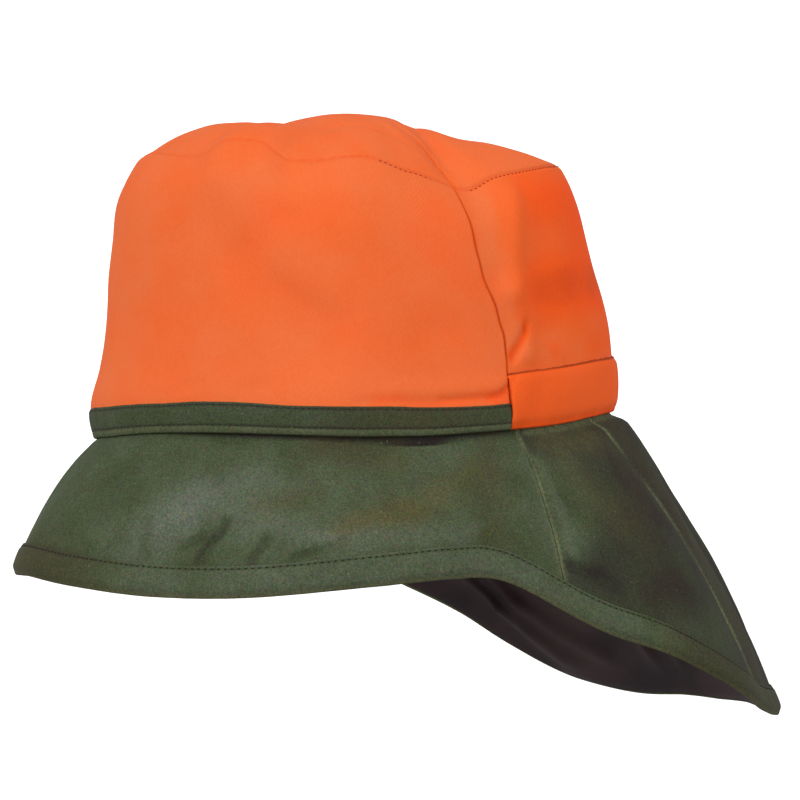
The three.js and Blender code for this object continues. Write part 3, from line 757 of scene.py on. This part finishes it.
def casing_bulge(angles, heights):
    """Fullness of the casing between its rows of sewing, with the gathers of what it holds."""
    rise = heights * CROWN_HEIGHT
    along = np.clip(rise / CASING_WIDTH, 0, 1)
    full = 4 * along * (1 - along)
    gathers = ripple(angles * MM_PER_DEGREE, 0.15 * rise, 6, 9)
    tight = ripple(angles * MM_PER_DEGREE, 0.1 * rise, 2.6, 21)
    edges = seam_roll(CASING_WIDTH - rise, 1.1 + 0.2 * tight, 1.6)
    edges = edges + seam_roll(rise, 1.3 + 0.3 * tight, 2.8)
    return full * (0.40 + 0.26 * gathers) - edges


def back_casing(material):
    """Casing for elastic over the foot of the back, with painted shade as dark lines where its two edges
    are sewn down.
    """
    heights = near_ends(0, CASING_WIDTH / CROWN_HEIGHT, 30, 3)[None, :]
    angles = casing_angles(heights, near_ends(0, 1, 230, 1.1)[:, None])
    bulge = casing_bulge(angles, heights)
    outer = crown_wall(angles, heights, LAYER_GAP + CASING_CLOTH + bulge)
    inner = crown_wall(angles, heights, LAYER_GAP + bulge)
    worn_and_lit = wear_and_light([], angles, heights, 1, 0.15)
    rise = heights * CROWN_HEIGHT
    # Painted shade: dark lines in the grooves along the sewn top and lower edges.
    worn_and_lit[..., 0] -= 1.4 * hump(CASING_WIDTH - rise, 0.5) + 0.5 * hump(rise, 0.9)
    worn_and_lit[..., 1] = 0.3 + 0.6 * hump(rise, 2.2)
    return closed_cloth("back_casing", outer, inner, wall_places(angles, heights), worn_and_lit, material)


def band_surface(angles, rises):
    """Outside of the band at a height above its lower edge: full between two rows of sewing."""
    height = rises / CROWN_HEIGHT
    middle = np.clip((rises - BAND_ROWS[0]) / (BAND_ROWS[1] - BAND_ROWS[0]), 0, 1)
    full = 0.25 * (4 * middle * (1 - middle)) ** 0.6
    puckers = 0.10 * ripple(angles * MM_PER_DEGREE, 0.3 * rises, 3.5, 10)
    roll = seam_roll(np.minimum(rises, BAND_WIDTH - rises), 0.35, 0.6)
    distance = wrap_lift(angles, height) + BAND_LEAF - 0.5 + full + puckers - roll
    return crown_wall(angles, height, distance)


def edge_band(material):
    """Binding along the wrap's lower edge: a leaf outside, a foot round the edge, brown in places."""
    rises = near_ends(0, BAND_WIDTH, 26, 2)[None, :]
    heights = rises / CROWN_HEIGHT
    angles = near_ends(-1, 1, 460, 1.1)[:, None] * crease_angle(heights)
    outer = band_surface(angles, rises)
    under = -CROWN_CLOTH + (CROWN_CLOTH + 0.1) * smooth_step((rises - BAND_FOOT) / 0.6)
    inner = crown_wall(angles, heights, wrap_lift(angles, heights) + under)
    leaf_edge = smooth_step((BAND_ROWS[0] - rises) / 0.8)
    worn_and_lit = wear_and_light([], angles, heights, 1, -0.15, 0.3 * leaf_edge)
    # Painted shade: dark lines in the grooves of the two rows of sewing. The brown patch is darker as
    # well.
    rows = sum(hump(rises - row, 0.5) for row in BAND_ROWS)
    brown = hump(angles - 88, 14) * (1 - leaf_edge)
    worn_and_lit[..., 0] -= 0.6 * rows + 0.35 * brown
    worn_and_lit[..., 1] = 0.35 * brown
    return closed_cloth("edge_band", outer, inner, wall_places(angles, heights), worn_and_lit, material)


def crown_top(material):
    """Top panel: a low dome, and a lip all round that goes down inside the crown."""
    angles = round_angles(450)
    lip = np.linspace(1 - TOP_LIP / CROWN_HEIGHT, 0.996, 6)[None, :]
    inset = CROWN_CLOTH + 1.5 * LAYER_GAP
    shares = np.concatenate([np.linspace(0.985, 0.90, 12), np.linspace(0.90, 0, 72)[1:]])[None, :]
    at_lip = np.broadcast_arrays(angles, lip)
    on_dome = np.broadcast_arrays(angles, shares)

    def grid(depth):
        inside = crown_point(*at_lip) - crown_normal(*at_lip) * (inset + depth)
        dome = top_point(*on_dome)
        dome[..., 2] -= depth + seam_roll((1 - on_dome[1]) * TOP_HALF_BREADTH)
        return np.concatenate([inside, dome], 1)

    outer = grid(0)
    # Painted pale all over: a painted sheen on the top, which faces the light.
    worn_and_lit = wear_and_light([], outer[..., 0], outer[..., 1], 1, 0.85)
    # Painted shade: a dark line along the sharp part of the cross fold.
    for *line, _, _ in TOP_TUCK:
        worn_and_lit[..., 0] -= 1.1 * tuck_weight(outer[..., 0], outer[..., 1], line, 1.0)
    return closed_cloth(
        "crown_top", outer, grid(CROWN_CLOTH), outer[..., :2], worn_and_lit, material, ring=True, pole=True
    )


def brim_panel(name, from_angle, to_angle, columns, bloom_and_light, material):
    """One panel of the brim between two seams, with the collar that goes up inside the crown."""
    angles = near_ends(from_angle + SEAM_ROOM / 2, to_angle - SEAM_ROOM / 2, columns, 1.3)[:, None]
    lowest = share_from_edge(angles, HEM_FOOT)
    shares = lowest * np.linspace(1, 0, 72)[None, :-1]
    rises = np.linspace(0, COLLAR_HEIGHT, 8)[None, :]
    from_seam = np.minimum(angles - from_angle, to_angle - angles) * MM_PER_DEGREE
    roll = seam_roll(from_seam, 0.5, 1.0)

    def grid(depth):
        collar = collar_point(*np.broadcast_arrays(angles, rises), COLLAR_INSET + depth)
        turned = smooth_step(shares / 0.04)
        return np.concatenate([brim_wall(angles, shares, -(depth + roll) * turned), collar], 1)

    outer = grid(0)
    low = brim_places(angles, shares)
    high = np.stack(np.broadcast_arrays(angles * MM_PER_DEGREE, -rises), -1)
    places = np.concatenate([low, high], 1)
    down = np.concatenate([shares, 0 * angles - 0.01 * rises], 1)
    at_flap = smooth_step((from_front(angles) - 134) / 2)
    rub_and_reflection = (0.8 + 0.2 * at_flap) * hump(from_seam, 0.9 + 0.3 * at_flap)
    rub_and_reflection = rub_and_reflection * np.clip(0.75 + 0.35 * ripple(down * BRIM_RUN, 0, 9, 22), 0, 1)
    # Painted reflection: a pale green-yellow line along the casing's lower edge, where the fluff catches
    # light from the orange.
    under_casing = smooth_step((from_front(angles) - BRIM_SIDE_SEAM) / 2)
    rub_and_reflection = np.maximum(rub_and_reflection, 0.8 * under_casing * hump(down, 0.02))
    worn_and_lit = wear_and_light(BRIM_WEAR_AND_LIGHT, angles, down, DEGREES_PER_SHARE, bloom_and_light, rub_and_reflection)
    # Painted shadow: a crisp dark strip where the brim gapes under the band.
    worn_and_lit[..., 0] -= 1.5 * smooth_step((0.75 * brim_gap(angles) + 0.3 - down * BRIM_RUN) / 0.6)
    return closed_cloth(name, outer, grid(BRIM_CLOTH), places, worn_and_lit, material)


def brim_lining(material):
    """Lining under the whole brim, a little too large for it."""
    angles = round_angles(400)
    lowest = share_from_edge(angles, HEM_FOOT)
    shares = lowest + (0.10 - lowest) * np.linspace(0, 1, 50)[None, :]
    depth = BRIM_CLOTH + LAYER_GAP
    loose = 0.7 * np.abs(ripple(angles * MM_PER_DEGREE, shares * BRIM_RUN, 22, 11))
    loose = loose * smooth_step((1 - shares) / 0.3)
    loose = loose + LINING_SLACK * folds(LINING_FOLDS, wrap_angle(angles), shares, DEGREES_PER_SHARE)
    outer = brim_wall(angles, shares, -depth - loose)
    inner = brim_wall(angles, shares, -depth - LINING_CLOTH - loose)
    worn_and_lit = wear_and_light([], angles, shares, 1, 0)
    return closed_cloth(
        "brim_lining", outer, inner, brim_places(angles, shares), worn_and_lit, material, ring=True
    )


def hem_surface(angles, from_edge):
    """Outside of the binding round the brim's edge."""
    angles, from_edge = np.broadcast_arrays(np.asarray(angles, float), from_edge)
    shares = share_from_edge(angles, from_edge)
    middle = np.clip(from_edge / HEM_ROW, 0, 1)
    full = 0.3 * (4 * middle * (1 - middle)) ** 0.6
    puckers = 0.06 * ripple(angles * 2.0, 0.35 * from_edge, 4, 12)
    roll = seam_roll(HEM_WIDTH - from_edge, 0.5, 0.6) + seam_roll(from_edge, 1.4, 1.6)
    roll = roll + seam_roll(from_edge - HEM_ROW, 0.55, 0.5)
    return brim_wall(angles, shares, LAYER_GAP + HEM_LEAF - 0.2 + full + puckers - roll)


def brim_hem(material):
    """Binding round the brim's whole edge, darker and browner in front and along the flap."""
    angles = round_angles(840)
    from_edge = near_ends(0, HEM_WIDTH, 22, 2)[None, :]
    outer = hem_surface(angles, from_edge)
    layers = BRIM_CLOTH + LAYER_GAP + LINING_CLOTH
    leaf = smooth_step((from_edge - HEM_FOOT + LAYER_GAP) / LAYER_GAP)
    thick = layers * (0.4 + 0.6 * smooth_step(from_edge / HEM_FOOT))
    grid_angles, grid_widths = np.broadcast_arrays(angles, from_edge)
    shares = share_from_edge(grid_angles, grid_widths)
    inner = brim_wall(grid_angles, shares, -thick + (thick + LAYER_GAP) * leaf)
    worn_and_lit = wear_and_light([], angles, shares, DEGREES_PER_SHARE, 0.32)
    behind = smooth_step((from_front(angles) - 119) / 9)
    ahead = smooth_step((40 - from_front(angles)) / 26)
    # Darker along the flap and in front; painted shade as a dark line in the groove of the row of
    # sewing.
    worn_and_lit[..., 0] -= 0.9 * behind + 0.9 * ahead + 0.5 * hump(from_edge - HEM_ROW, 0.5)
    worn_and_lit[..., 1] = np.maximum(0.7 * hump(from_edge, 0.9), 0.45 * ahead + 0.3 * behind)
    return closed_cloth(
        "brim_hem", outer, inner, brim_places(angles, shares), worn_and_lit, material, ring=True
    )


def sew(name, path, normal, kind, threads):
    """A row of stitches along a path, each one dipping into the cloth at its ends."""
    pitch, length, radius, sink, thread = STITCHES[kind]
    steps = np.linalg.norm(np.diff(path, axis=0), axis=1)
    run = np.concatenate([[0], np.cumsum(steps)])
    starts = np.arange(0.5 * pitch, run[-1] - pitch, pitch)
    sides, rings = 6, 5
    at = starts[:, None] + np.linspace(0, length, rings)[None, :]
    centre = np.stack([np.interp(at, run, path[:, k]) for k in range(3)], -1)
    up = np.stack([np.interp(at, run, normal[:, k]) for k in range(3)], -1)
    up = up / length_of(up)
    ahead = np.gradient(centre, axis=1)
    ahead = ahead / length_of(ahead)
    side = np.cross(ahead, up)
    arch = np.array([-1.0, -0.15, 0, -0.15, -1.0])[None, :, None] * radius * 1.3
    girth = np.array([0.45, 0.92, 1, 0.92, 0.45])[None, :, None, None] * radius
    centre = centre + up * (arch - sink)
    turn = np.linspace(0, 2 * np.pi, sides, endpoint=False)[None, None, :, None]
    round_thread = side[:, :, None] * np.cos(turn) + up[:, :, None] * np.sin(turn)
    points = (centre[:, :, None] + girth * round_thread).reshape(-1, 3)
    ids = np.arange(len(points)).reshape(len(starts), rings, sides)
    nxt = np.roll(ids, -1, axis=2)
    faces = np.stack([ids[:, :-1], ids[:, 1:], nxt[:, 1:], nxt[:, :-1]], -1).reshape(-1, 4).tolist()
    faces += ids[:, 0].tolist() + ids[:, -1, ::-1].tolist()
    places = np.stack([at, 0 * at, 0 * at], -1)[:, :, None] + np.zeros((1, 1, sides, 1))
    return make_piece(name, points, faces, places.reshape(-1, 3), 0 * points, threads[thread])


def crown_sewing(threads):
    """Rows of sewing on the crown: along its top seam where that shows, and along the casing."""
    rows = []
    tips = {"left": (83, 101), "back": (104, 256), "right": (259, 277)}
    for side, (from_angle, to_angle) in tips.items():
        angles = np.linspace(from_angle, to_angle, 400)
        seam = crown_wall(angles, 0.997, -0.75)
        normal = crown_normal(angles, 0.97)
        rows.append(sew(f"tip_sewing_{side}", seam, normal, "tip", threads))
    height = np.full(1400, CASING_WIDTH / CROWN_HEIGHT - 0.018)
    angles = casing_angles(height, np.linspace(0.002, 0.998, 1400))
    lift = LAYER_GAP + CASING_CLOTH + casing_bulge(angles, height)
    path, normal = crown_wall(angles, height, lift), crown_normal(angles, height)
    rows.append(sew("casing_sewing", path, normal, "casing", threads))
    return rows


def brim_sewing(threads):
    """Rows of sewing on the green cloths: two on the band, one on the hem, one beside each seam."""
    rows = []
    for side, rise in zip(("lower", "upper"), BAND_ROWS):
        angles = np.linspace(-109, 109, 1600)
        path = band_surface(angles, rise)
        normal = crown_normal(angles, 0.05)
        rows.append(sew(f"band_sewing_{side}", path, normal, "band", threads))
    angles = np.linspace(0, 360, 3000)
    path = hem_surface(angles, HEM_ROW)
    normal = brim_normal(angles, share_from_edge(angles, HEM_ROW))
    rows.append(sew("hem_sewing", path, normal, "hem", threads))
    shares = np.linspace(0.03, 0.80, 300)
    for seam, angle, beside in (("side", BRIM_SIDE_SEAM, 1.0), ("flap", FLAP_SEAM, 1.1)):
        for side, sign in (("left", 1), ("right", -1)):
            angles = np.full_like(shares, sign * (angle + beside / MM_PER_DEGREE))
            path, normal = brim_wall(angles, shares, 0), brim_normal(angles, shares)
            rows.append(sew(f"{seam}_seam_sewing_{side}", path, normal, "seam", threads))
    return rows


# Settings that several shader nodes share, and the scale of a wave whose bands are 1 apart.
MIX = {"data_type": "RGBA"}
OVERLAY = {"data_type": "RGBA", "blend_type": "OVERLAY"}
CLAMPED = {"operation": "MULTIPLY", "use_clamp": True}
WAVE = 0.31416


def linear(colour):
    """A colour written as sRGB hex, turned into the shader's linear values."""
    channels = [int(colour[i:i + 2], 16) / 255 for i in (0, 2, 4)]
    return [c / 12.92 if c <= 0.04045 else ((c + 0.055) / 1.055) ** 2.4 for c in channels] + [1]


def add(tree, kind, settings=None, stops=(), **inputs):
    """Adds a shader node with its settings, a ramp's colour stops, and its inputs, each one a constant
    or another node's socket. An input is named, with _ for a space, or numbered, such as _0."""
    node = tree.nodes.new(kind)
    for key, value in (settings or {}).items():
        setattr(node, key, value)
    for i, (place, colour) in enumerate(stops):
        elements = node.color_ramp.elements
        stop = elements[i] if i < 2 else elements.new(place)
        stop.position = place
        stop.color = linear(colour)
    for key, value in inputs.items():
        socket = node.inputs[int(key[1:])] if key[0] == "_" else node.inputs[key.replace("_", " ")]
        if isinstance(value, bpy.types.NodeSocket):
            tree.links.new(value, socket)
        else:
            socket.default_value = value
    return node


def blank_material(name):
    material = bpy.data.materials.new(name)
    material.use_nodes = True
    material.node_tree.nodes.clear()
    return material, material.node_tree


def per_metre(size):
    """Scale of a noise over the hat, in metres, whose lumps have a size in millimetres."""
    return 1000 / size


def worn_and_lit_parts(tree):
    """Bloom with painted light and shade, undertone, and rubbed edge with painted reflection of the
    cloth, as three values.
    """
    worn_and_lit = add(tree, "ShaderNodeAttribute", {"attribute_name": "worn_and_lit"})
    return add(tree, "ShaderNodeSeparateXYZ", Vector=worn_and_lit.outputs["Vector"]).outputs


def weave_lines(tree, pitch, angle):
    """Lines of a weave at a pitch in millimetres, turned from the cloth's length by an angle."""
    place = add(tree, "ShaderNodeAttribute", {"attribute_name": "cloth_mm"}).outputs["Vector"]
    turned = add(tree, "ShaderNodeVectorRotate", {"rotation_type": "Z_AXIS"}, Vector=place,
                 Angle=np.radians(angle))
    return add(tree, "ShaderNodeTexWave", Vector=turned.outputs[0], Scale=WAVE / pitch,
               Distortion=0.6, Detail=1.0, Detail_Scale=2.0).outputs["Fac"]


def wear_and_light_coats(tree, colour, coats):
    """A cloth's colour under coats of wear and of painted light and shade: how much of each there is,
    what breaks it up, how strong it is at most, and its own colour."""
    for amount, patches, strength, coat in coats:
        uneven = add(tree, "ShaderNodeMath", {"operation": "MULTIPLY_ADD"}, _0=patches, _1=1.6, _2=0.1)
        for part in (uneven.outputs[0], strength):
            amount = add(tree, "ShaderNodeMath", CLAMPED, _0=amount, _1=part).outputs[0]
        colour = add(tree, "ShaderNodeMix", MIX, _0=amount, _6=colour, _7=linear(coat)).outputs[2]
    return colour


def orange_twill():
    """Cotton twill, piece dyed bright orange and proofed. It is matt, with faint diagonal ribs, and its
    colour carries painted
    light: paler with a painted sheen where light falls, deeper orange in places, and brown with painted
    shade in creases and on the back."""
    material, tree = blank_material("orange cotton twill, piece dyed")
    place = add(tree, "ShaderNodeTexCoord").outputs["Object"]
    # Uneven dye, in clouds of 29 mm.
    clouds = add(tree, "ShaderNodeTexNoise", Vector=place, Scale=per_metre(29.41), Detail=4.0,
                 Roughness=0.6).outputs[0]
    # Thick places in the yarn of 0.3 mm and ribs 0.5 mm apart, both drawn coarser so that they show.
    slubs = add(tree, "ShaderNodeTexNoise", Vector=place, Scale=per_metre(0.909), Detail=2.0).outputs[0]
    ribs = weave_lines(tree, 0.85, 24)
    dye = add(tree, "ShaderNodeValToRGB", stops=[(0.30, "EE5914"), (0.70, "F1601A")], Fac=clouds)
    bloom_and_light, deep, _ = worn_and_lit_parts(tree)
    shade = add(tree, "ShaderNodeMath", {"operation": "MULTIPLY"}, _0=bloom_and_light, _1=-1.0).outputs[0]
    # Coats: painted sheen, deeper orange, painted shade, then the ribs.
    colour = wear_and_light_coats(tree, dye.outputs[0], [
        (bloom_and_light, clouds, 1.0, "E96D39"),
        (deep, clouds, 0.8, "F84C00"),
        (shade, clouds, 1.0, "9A3408"),
        (ribs, slubs, 0.10, "FA9A6C"),
    ])
    speckled = add(tree, "ShaderNodeMix", OVERLAY, _0=0.10, _6=colour, _7=slubs)
    bumps = add(tree, "ShaderNodeBump", Strength=0.15, Distance=0.00012, Height=ribs)
    bumps = add(tree, "ShaderNodeBump", Strength=0.3, Distance=0.0001, Height=slubs,
                Normal=bumps.outputs[0])
    shader = add(tree, "ShaderNodeBsdfPrincipled", Base_Color=speckled.outputs[2], Roughness=0.75,
                 IOR=1.47, Specular_IOR_Level=0.1, Sheen_Weight=0.01, Sheen_Roughness=0.5,
                 Sheen_Tint=linear("FFB48C"), Normal=bumps.outputs[0])
    add(tree, "ShaderNodeOutputMaterial", Surface=shader.outputs[0])
    return material


def green_cotton():
    """Plain woven cotton, dyed dark green, waxed and brushed. It is matt and a little furry, with a soft
    grey bloom that is partly painted sheen, dark with painted shade in creases, under the band and on
    the flap, brown in places, and pale along rubbed edges and along the casing, where a painted
    reflection of the orange lies."""
    material, tree = blank_material("dark green cotton, brushed and waxed")
    place = add(tree, "ShaderNodeTexCoord").outputs["Object"]
    # Uneven wax, in clouds of 22 mm, and tufts of fluff 1.6 mm across.
    clouds = add(tree, "ShaderNodeTexNoise", Vector=place, Scale=per_metre(22.22), Detail=6.0,
                 Roughness=0.65).outputs[0]
    fluff = add(tree, "ShaderNodeTexNoise", Vector=place, Scale=per_metre(1.613), Detail=3.0,
                Roughness=0.7)
    # Nap of 0.1 mm and threads 0.4 mm apart, both drawn coarser so that they show.
    nap = add(tree, "ShaderNodeTexNoise", Vector=place, Scale=per_metre(0.6667), Detail=2.0,
              Roughness=0.6).outputs[0]
    threads = weave_lines(tree, 0.7, 45)
    stops = [(0.32, "3E462D"), (0.50, "464F37"), (0.68, "4E5842")]
    dye = add(tree, "ShaderNodeValToRGB", stops=stops, Fac=clouds)
    bloom_and_light, deep, rub_and_reflection = worn_and_lit_parts(tree)
    shade = add(tree, "ShaderNodeMath", {"operation": "MULTIPLY"}, _0=bloom_and_light, _1=-1.0).outputs[0]
    # Coats: grey bloom with painted sheen, painted shade, brown undertone, then rubbed edges with
    # painted reflection.
    colour = wear_and_light_coats(tree, dye.outputs[0], [
        (bloom_and_light, fluff.outputs[0], 0.8, "666C5F"),
        (shade, clouds, 1.0, "292321"),
        (deep, clouds, 0.7, "5A5230"),
        (rub_and_reflection, fluff.outputs[0], 0.9, "747A58"),
    ])
    napped = add(tree, "ShaderNodeMix", OVERLAY, _0=0.8, _6=colour, _7=nap)
    furry = add(tree, "ShaderNodeMix", OVERLAY, _0=0.4, _6=napped.outputs[2], _7=fluff.outputs["Color"])
    # Specks of lint about 0.3 mm across, the rare peaks of a noise of 1.1 mm.
    lint = add(tree, "ShaderNodeTexNoise", Vector=place, Scale=per_metre(1.111), Detail=0.0)
    specks = add(tree, "ShaderNodeValToRGB", stops=[(0.82, "000000"), (0.88, "A0A0A0")],
                 Fac=lint.outputs[0])
    dusted = add(tree, "ShaderNodeMix", MIX, _0=specks.outputs[0], _6=furry.outputs[2],
                 _7=linear("828C66"))
    bumps = add(tree, "ShaderNodeBump", Strength=0.5, Distance=0.00015, Height=nap)
    bumps = add(tree, "ShaderNodeBump", Strength=0.15, Distance=0.0001, Height=threads,
                Normal=bumps.outputs[0])
    shader = add(tree, "ShaderNodeBsdfPrincipled", Base_Color=dusted.outputs[2], Roughness=0.7,
                 IOR=1.47, Specular_IOR_Level=0.1, Sheen_Weight=0.01, Sheen_Roughness=0.5,
                 Sheen_Tint=linear("B8C0A8"), Normal=bumps.outputs[0])
    add(tree, "ShaderNodeOutputMaterial", Surface=shader.outputs[0])
    return material


def dark_lining():
    """Thin plain woven viscose, dyed dark brown. It is smooth and a little shiny."""
    material, tree = blank_material("dark brown viscose lining, plain woven")
    place = add(tree, "ShaderNodeTexCoord").outputs["Object"]
    clouds = add(tree, "ShaderNodeTexNoise", Vector=place, Scale=per_metre(33.33), Detail=4.0)
    dye = add(tree, "ShaderNodeValToRGB", stops=[(0.38, "201417"), (0.62, "392526")],
              Fac=clouds.outputs[0])
    # Threads 0.25 mm apart, drawn at 0.5 mm so that they show.
    bumps = add(tree, "ShaderNodeBump", Strength=0.2, Distance=0.0001, Height=weave_lines(tree, 0.5, 0))
    shader = add(tree, "ShaderNodeBsdfPrincipled", Base_Color=dye.outputs[0], Roughness=0.6, IOR=1.5,
                 Specular_IOR_Level=0.35, Sheen_Weight=0.03, Normal=bumps.outputs[0])
    add(tree, "ShaderNodeOutputMaterial", Surface=shader.outputs[0])
    return material


def sewing_thread(name, colour):
    """Polyester thread, spun and twisted: its plies show as bands 0.35 mm apart."""
    material, tree = blank_material(name)
    place = add(tree, "ShaderNodeAttribute", {"attribute_name": "cloth_mm"})
    twist = add(tree, "ShaderNodeTexWave", Vector=place.outputs["Vector"], Scale=WAVE / 0.349)
    bumps = add(tree, "ShaderNodeBump", Strength=0.3, Distance=0.0001, Height=twist.outputs["Fac"])
    shader = add(tree, "ShaderNodeBsdfPrincipled", Base_Color=linear(colour), Roughness=0.6,
                 IOR=1.55, Specular_IOR_Level=0.2, Normal=bumps.outputs[0])
    add(tree, "ShaderNodeOutputMaterial", Surface=shader.outputs[0])
    return material


def floor():
    """Wide pale studio floor whose rim curves up behind the camera and the hat. Metres."""
    depth = 0.32  # below the crown's foot
    radii = [0.01, 1, 2, 3, 4, 4.7, 5.1, 5.3]
    rises = [0, 0, 0, 0.03, 0.25, 0.7, 1.3, 2.0]
    turn = np.radians(round_angles(96)[:, 0])
    points = [
        (radius * np.cos(t), radius * np.sin(t), rise - depth)
        for radius, rise in zip(radii, rises)
        for t in turn
    ]
    ids = np.arange(len(points)).reshape(len(radii), -1)
    nxt = np.roll(ids, -1, axis=1)
    faces = np.stack([ids[1:], nxt[1:], nxt[:-1], ids[:-1]], -1).reshape(-1, 4)
    mesh = bpy.data.meshes.new("floor")
    mesh.from_pydata(points, [], faces.tolist())
    mesh.shade_smooth()
    material, tree = blank_material("pale matt paint")
    grain = add(tree, "ShaderNodeTexNoise", Scale=40.0)
    paint = add(tree, "ShaderNodeValToRGB", stops=[(0, "F6F6F6"), (1, "FAFAFA")], Fac=grain.outputs[0])
    colour = paint.outputs[0]
    shader = add(tree, "ShaderNodeBsdfPrincipled", Base_Color=colour, Roughness=0.9,
                 Emission_Color=colour, Emission_Strength=0.35)
    add(tree, "ShaderNodeOutputMaterial", Surface=shader.outputs[0])
    mesh.materials.append(material)
    piece = bpy.data.objects.new("floor", mesh)
    bpy.context.scene.collection.objects.link(piece)
    piece.visible_diffuse = False
    piece.visible_glossy = False


def soft_sun(name, towards, strength, width):
    """A soft light that comes from a direction, spread over a width in degrees."""
    light = bpy.data.lights.new(name, "SUN")
    light.energy = strength
    light.angle = np.radians(width)
    lamp = bpy.data.objects.new(name, light)
    lamp.rotation_mode = "QUATERNION"
    lamp.rotation_quaternion = Vector(towards).to_track_quat("Z", "Y")
    bpy.context.scene.collection.objects.link(lamp)


def camera():
    """Long lens level with the hat, 1.3 m away, from its left and a little in front."""
    turn = np.radians(70)
    back = Vector((np.sin(turn), -np.cos(turn), 0))
    right = Vector((np.cos(turn), np.sin(turn), 0))
    aim = right * 0.0182 + Vector((0, 0, 0.0125))
    lens = bpy.data.cameras.new("camera")
    lens.sensor_width = 36
    lens.lens = 149.2
    body = bpy.data.objects.new("camera", lens)
    body.location = aim + back * 1.3
    body.rotation_mode = "QUATERNION"
    body.rotation_quaternion = back.to_track_quat("Z", "Y")
    bpy.context.scene.collection.objects.link(body)
    bpy.context.scene.camera = body
    return back, right


def studio(back, right):
    """Plain white light all round, a soft key from the hat's front and a wide fill from its back."""
    scene = bpy.context.scene
    scene.view_settings.view_transform = "Standard"
    world = bpy.data.worlds.new("studio")
    world.use_nodes = True
    world.node_tree.nodes["Background"].inputs["Color"].default_value = (1, 1, 1, 1)
    world.node_tree.nodes["Background"].inputs["Strength"].default_value = 0.57
    scene.world = world
    up = Vector((0, 0, 1))
    soft_sun("key", back * 0.75 - right * 0.60 + up * 0.55, 1.75, 40)
    soft_sun("fill", back * 0.45 + right * 0.90 + up * 0.15, 2.1, 60)


def build():
    back, right = camera()
    orange = orange_twill()
    green = green_cotton()
    threads = {thread: sewing_thread(*look) for thread, look in THREADS.items()}
    crown = (crown_wrap, crown_back, crown_top, back_casing)
    cloths = [
        ("orange_twill", [make(orange) for make in crown]),
        ("green_cotton", [edge_band(green)]),
        ("green_cotton", [brim_panel(name, *panel, green) for name, panel in BRIM_PANELS.items()]),
        ("dark_lining", [brim_lining(dark_lining())]),
        ("green_cotton", [brim_hem(green)]),
        ("orange_twill", crown_sewing(threads)),
        ("green_cotton", brim_sewing(threads)),
    ]
    floor()
    studio(back, right)


build()
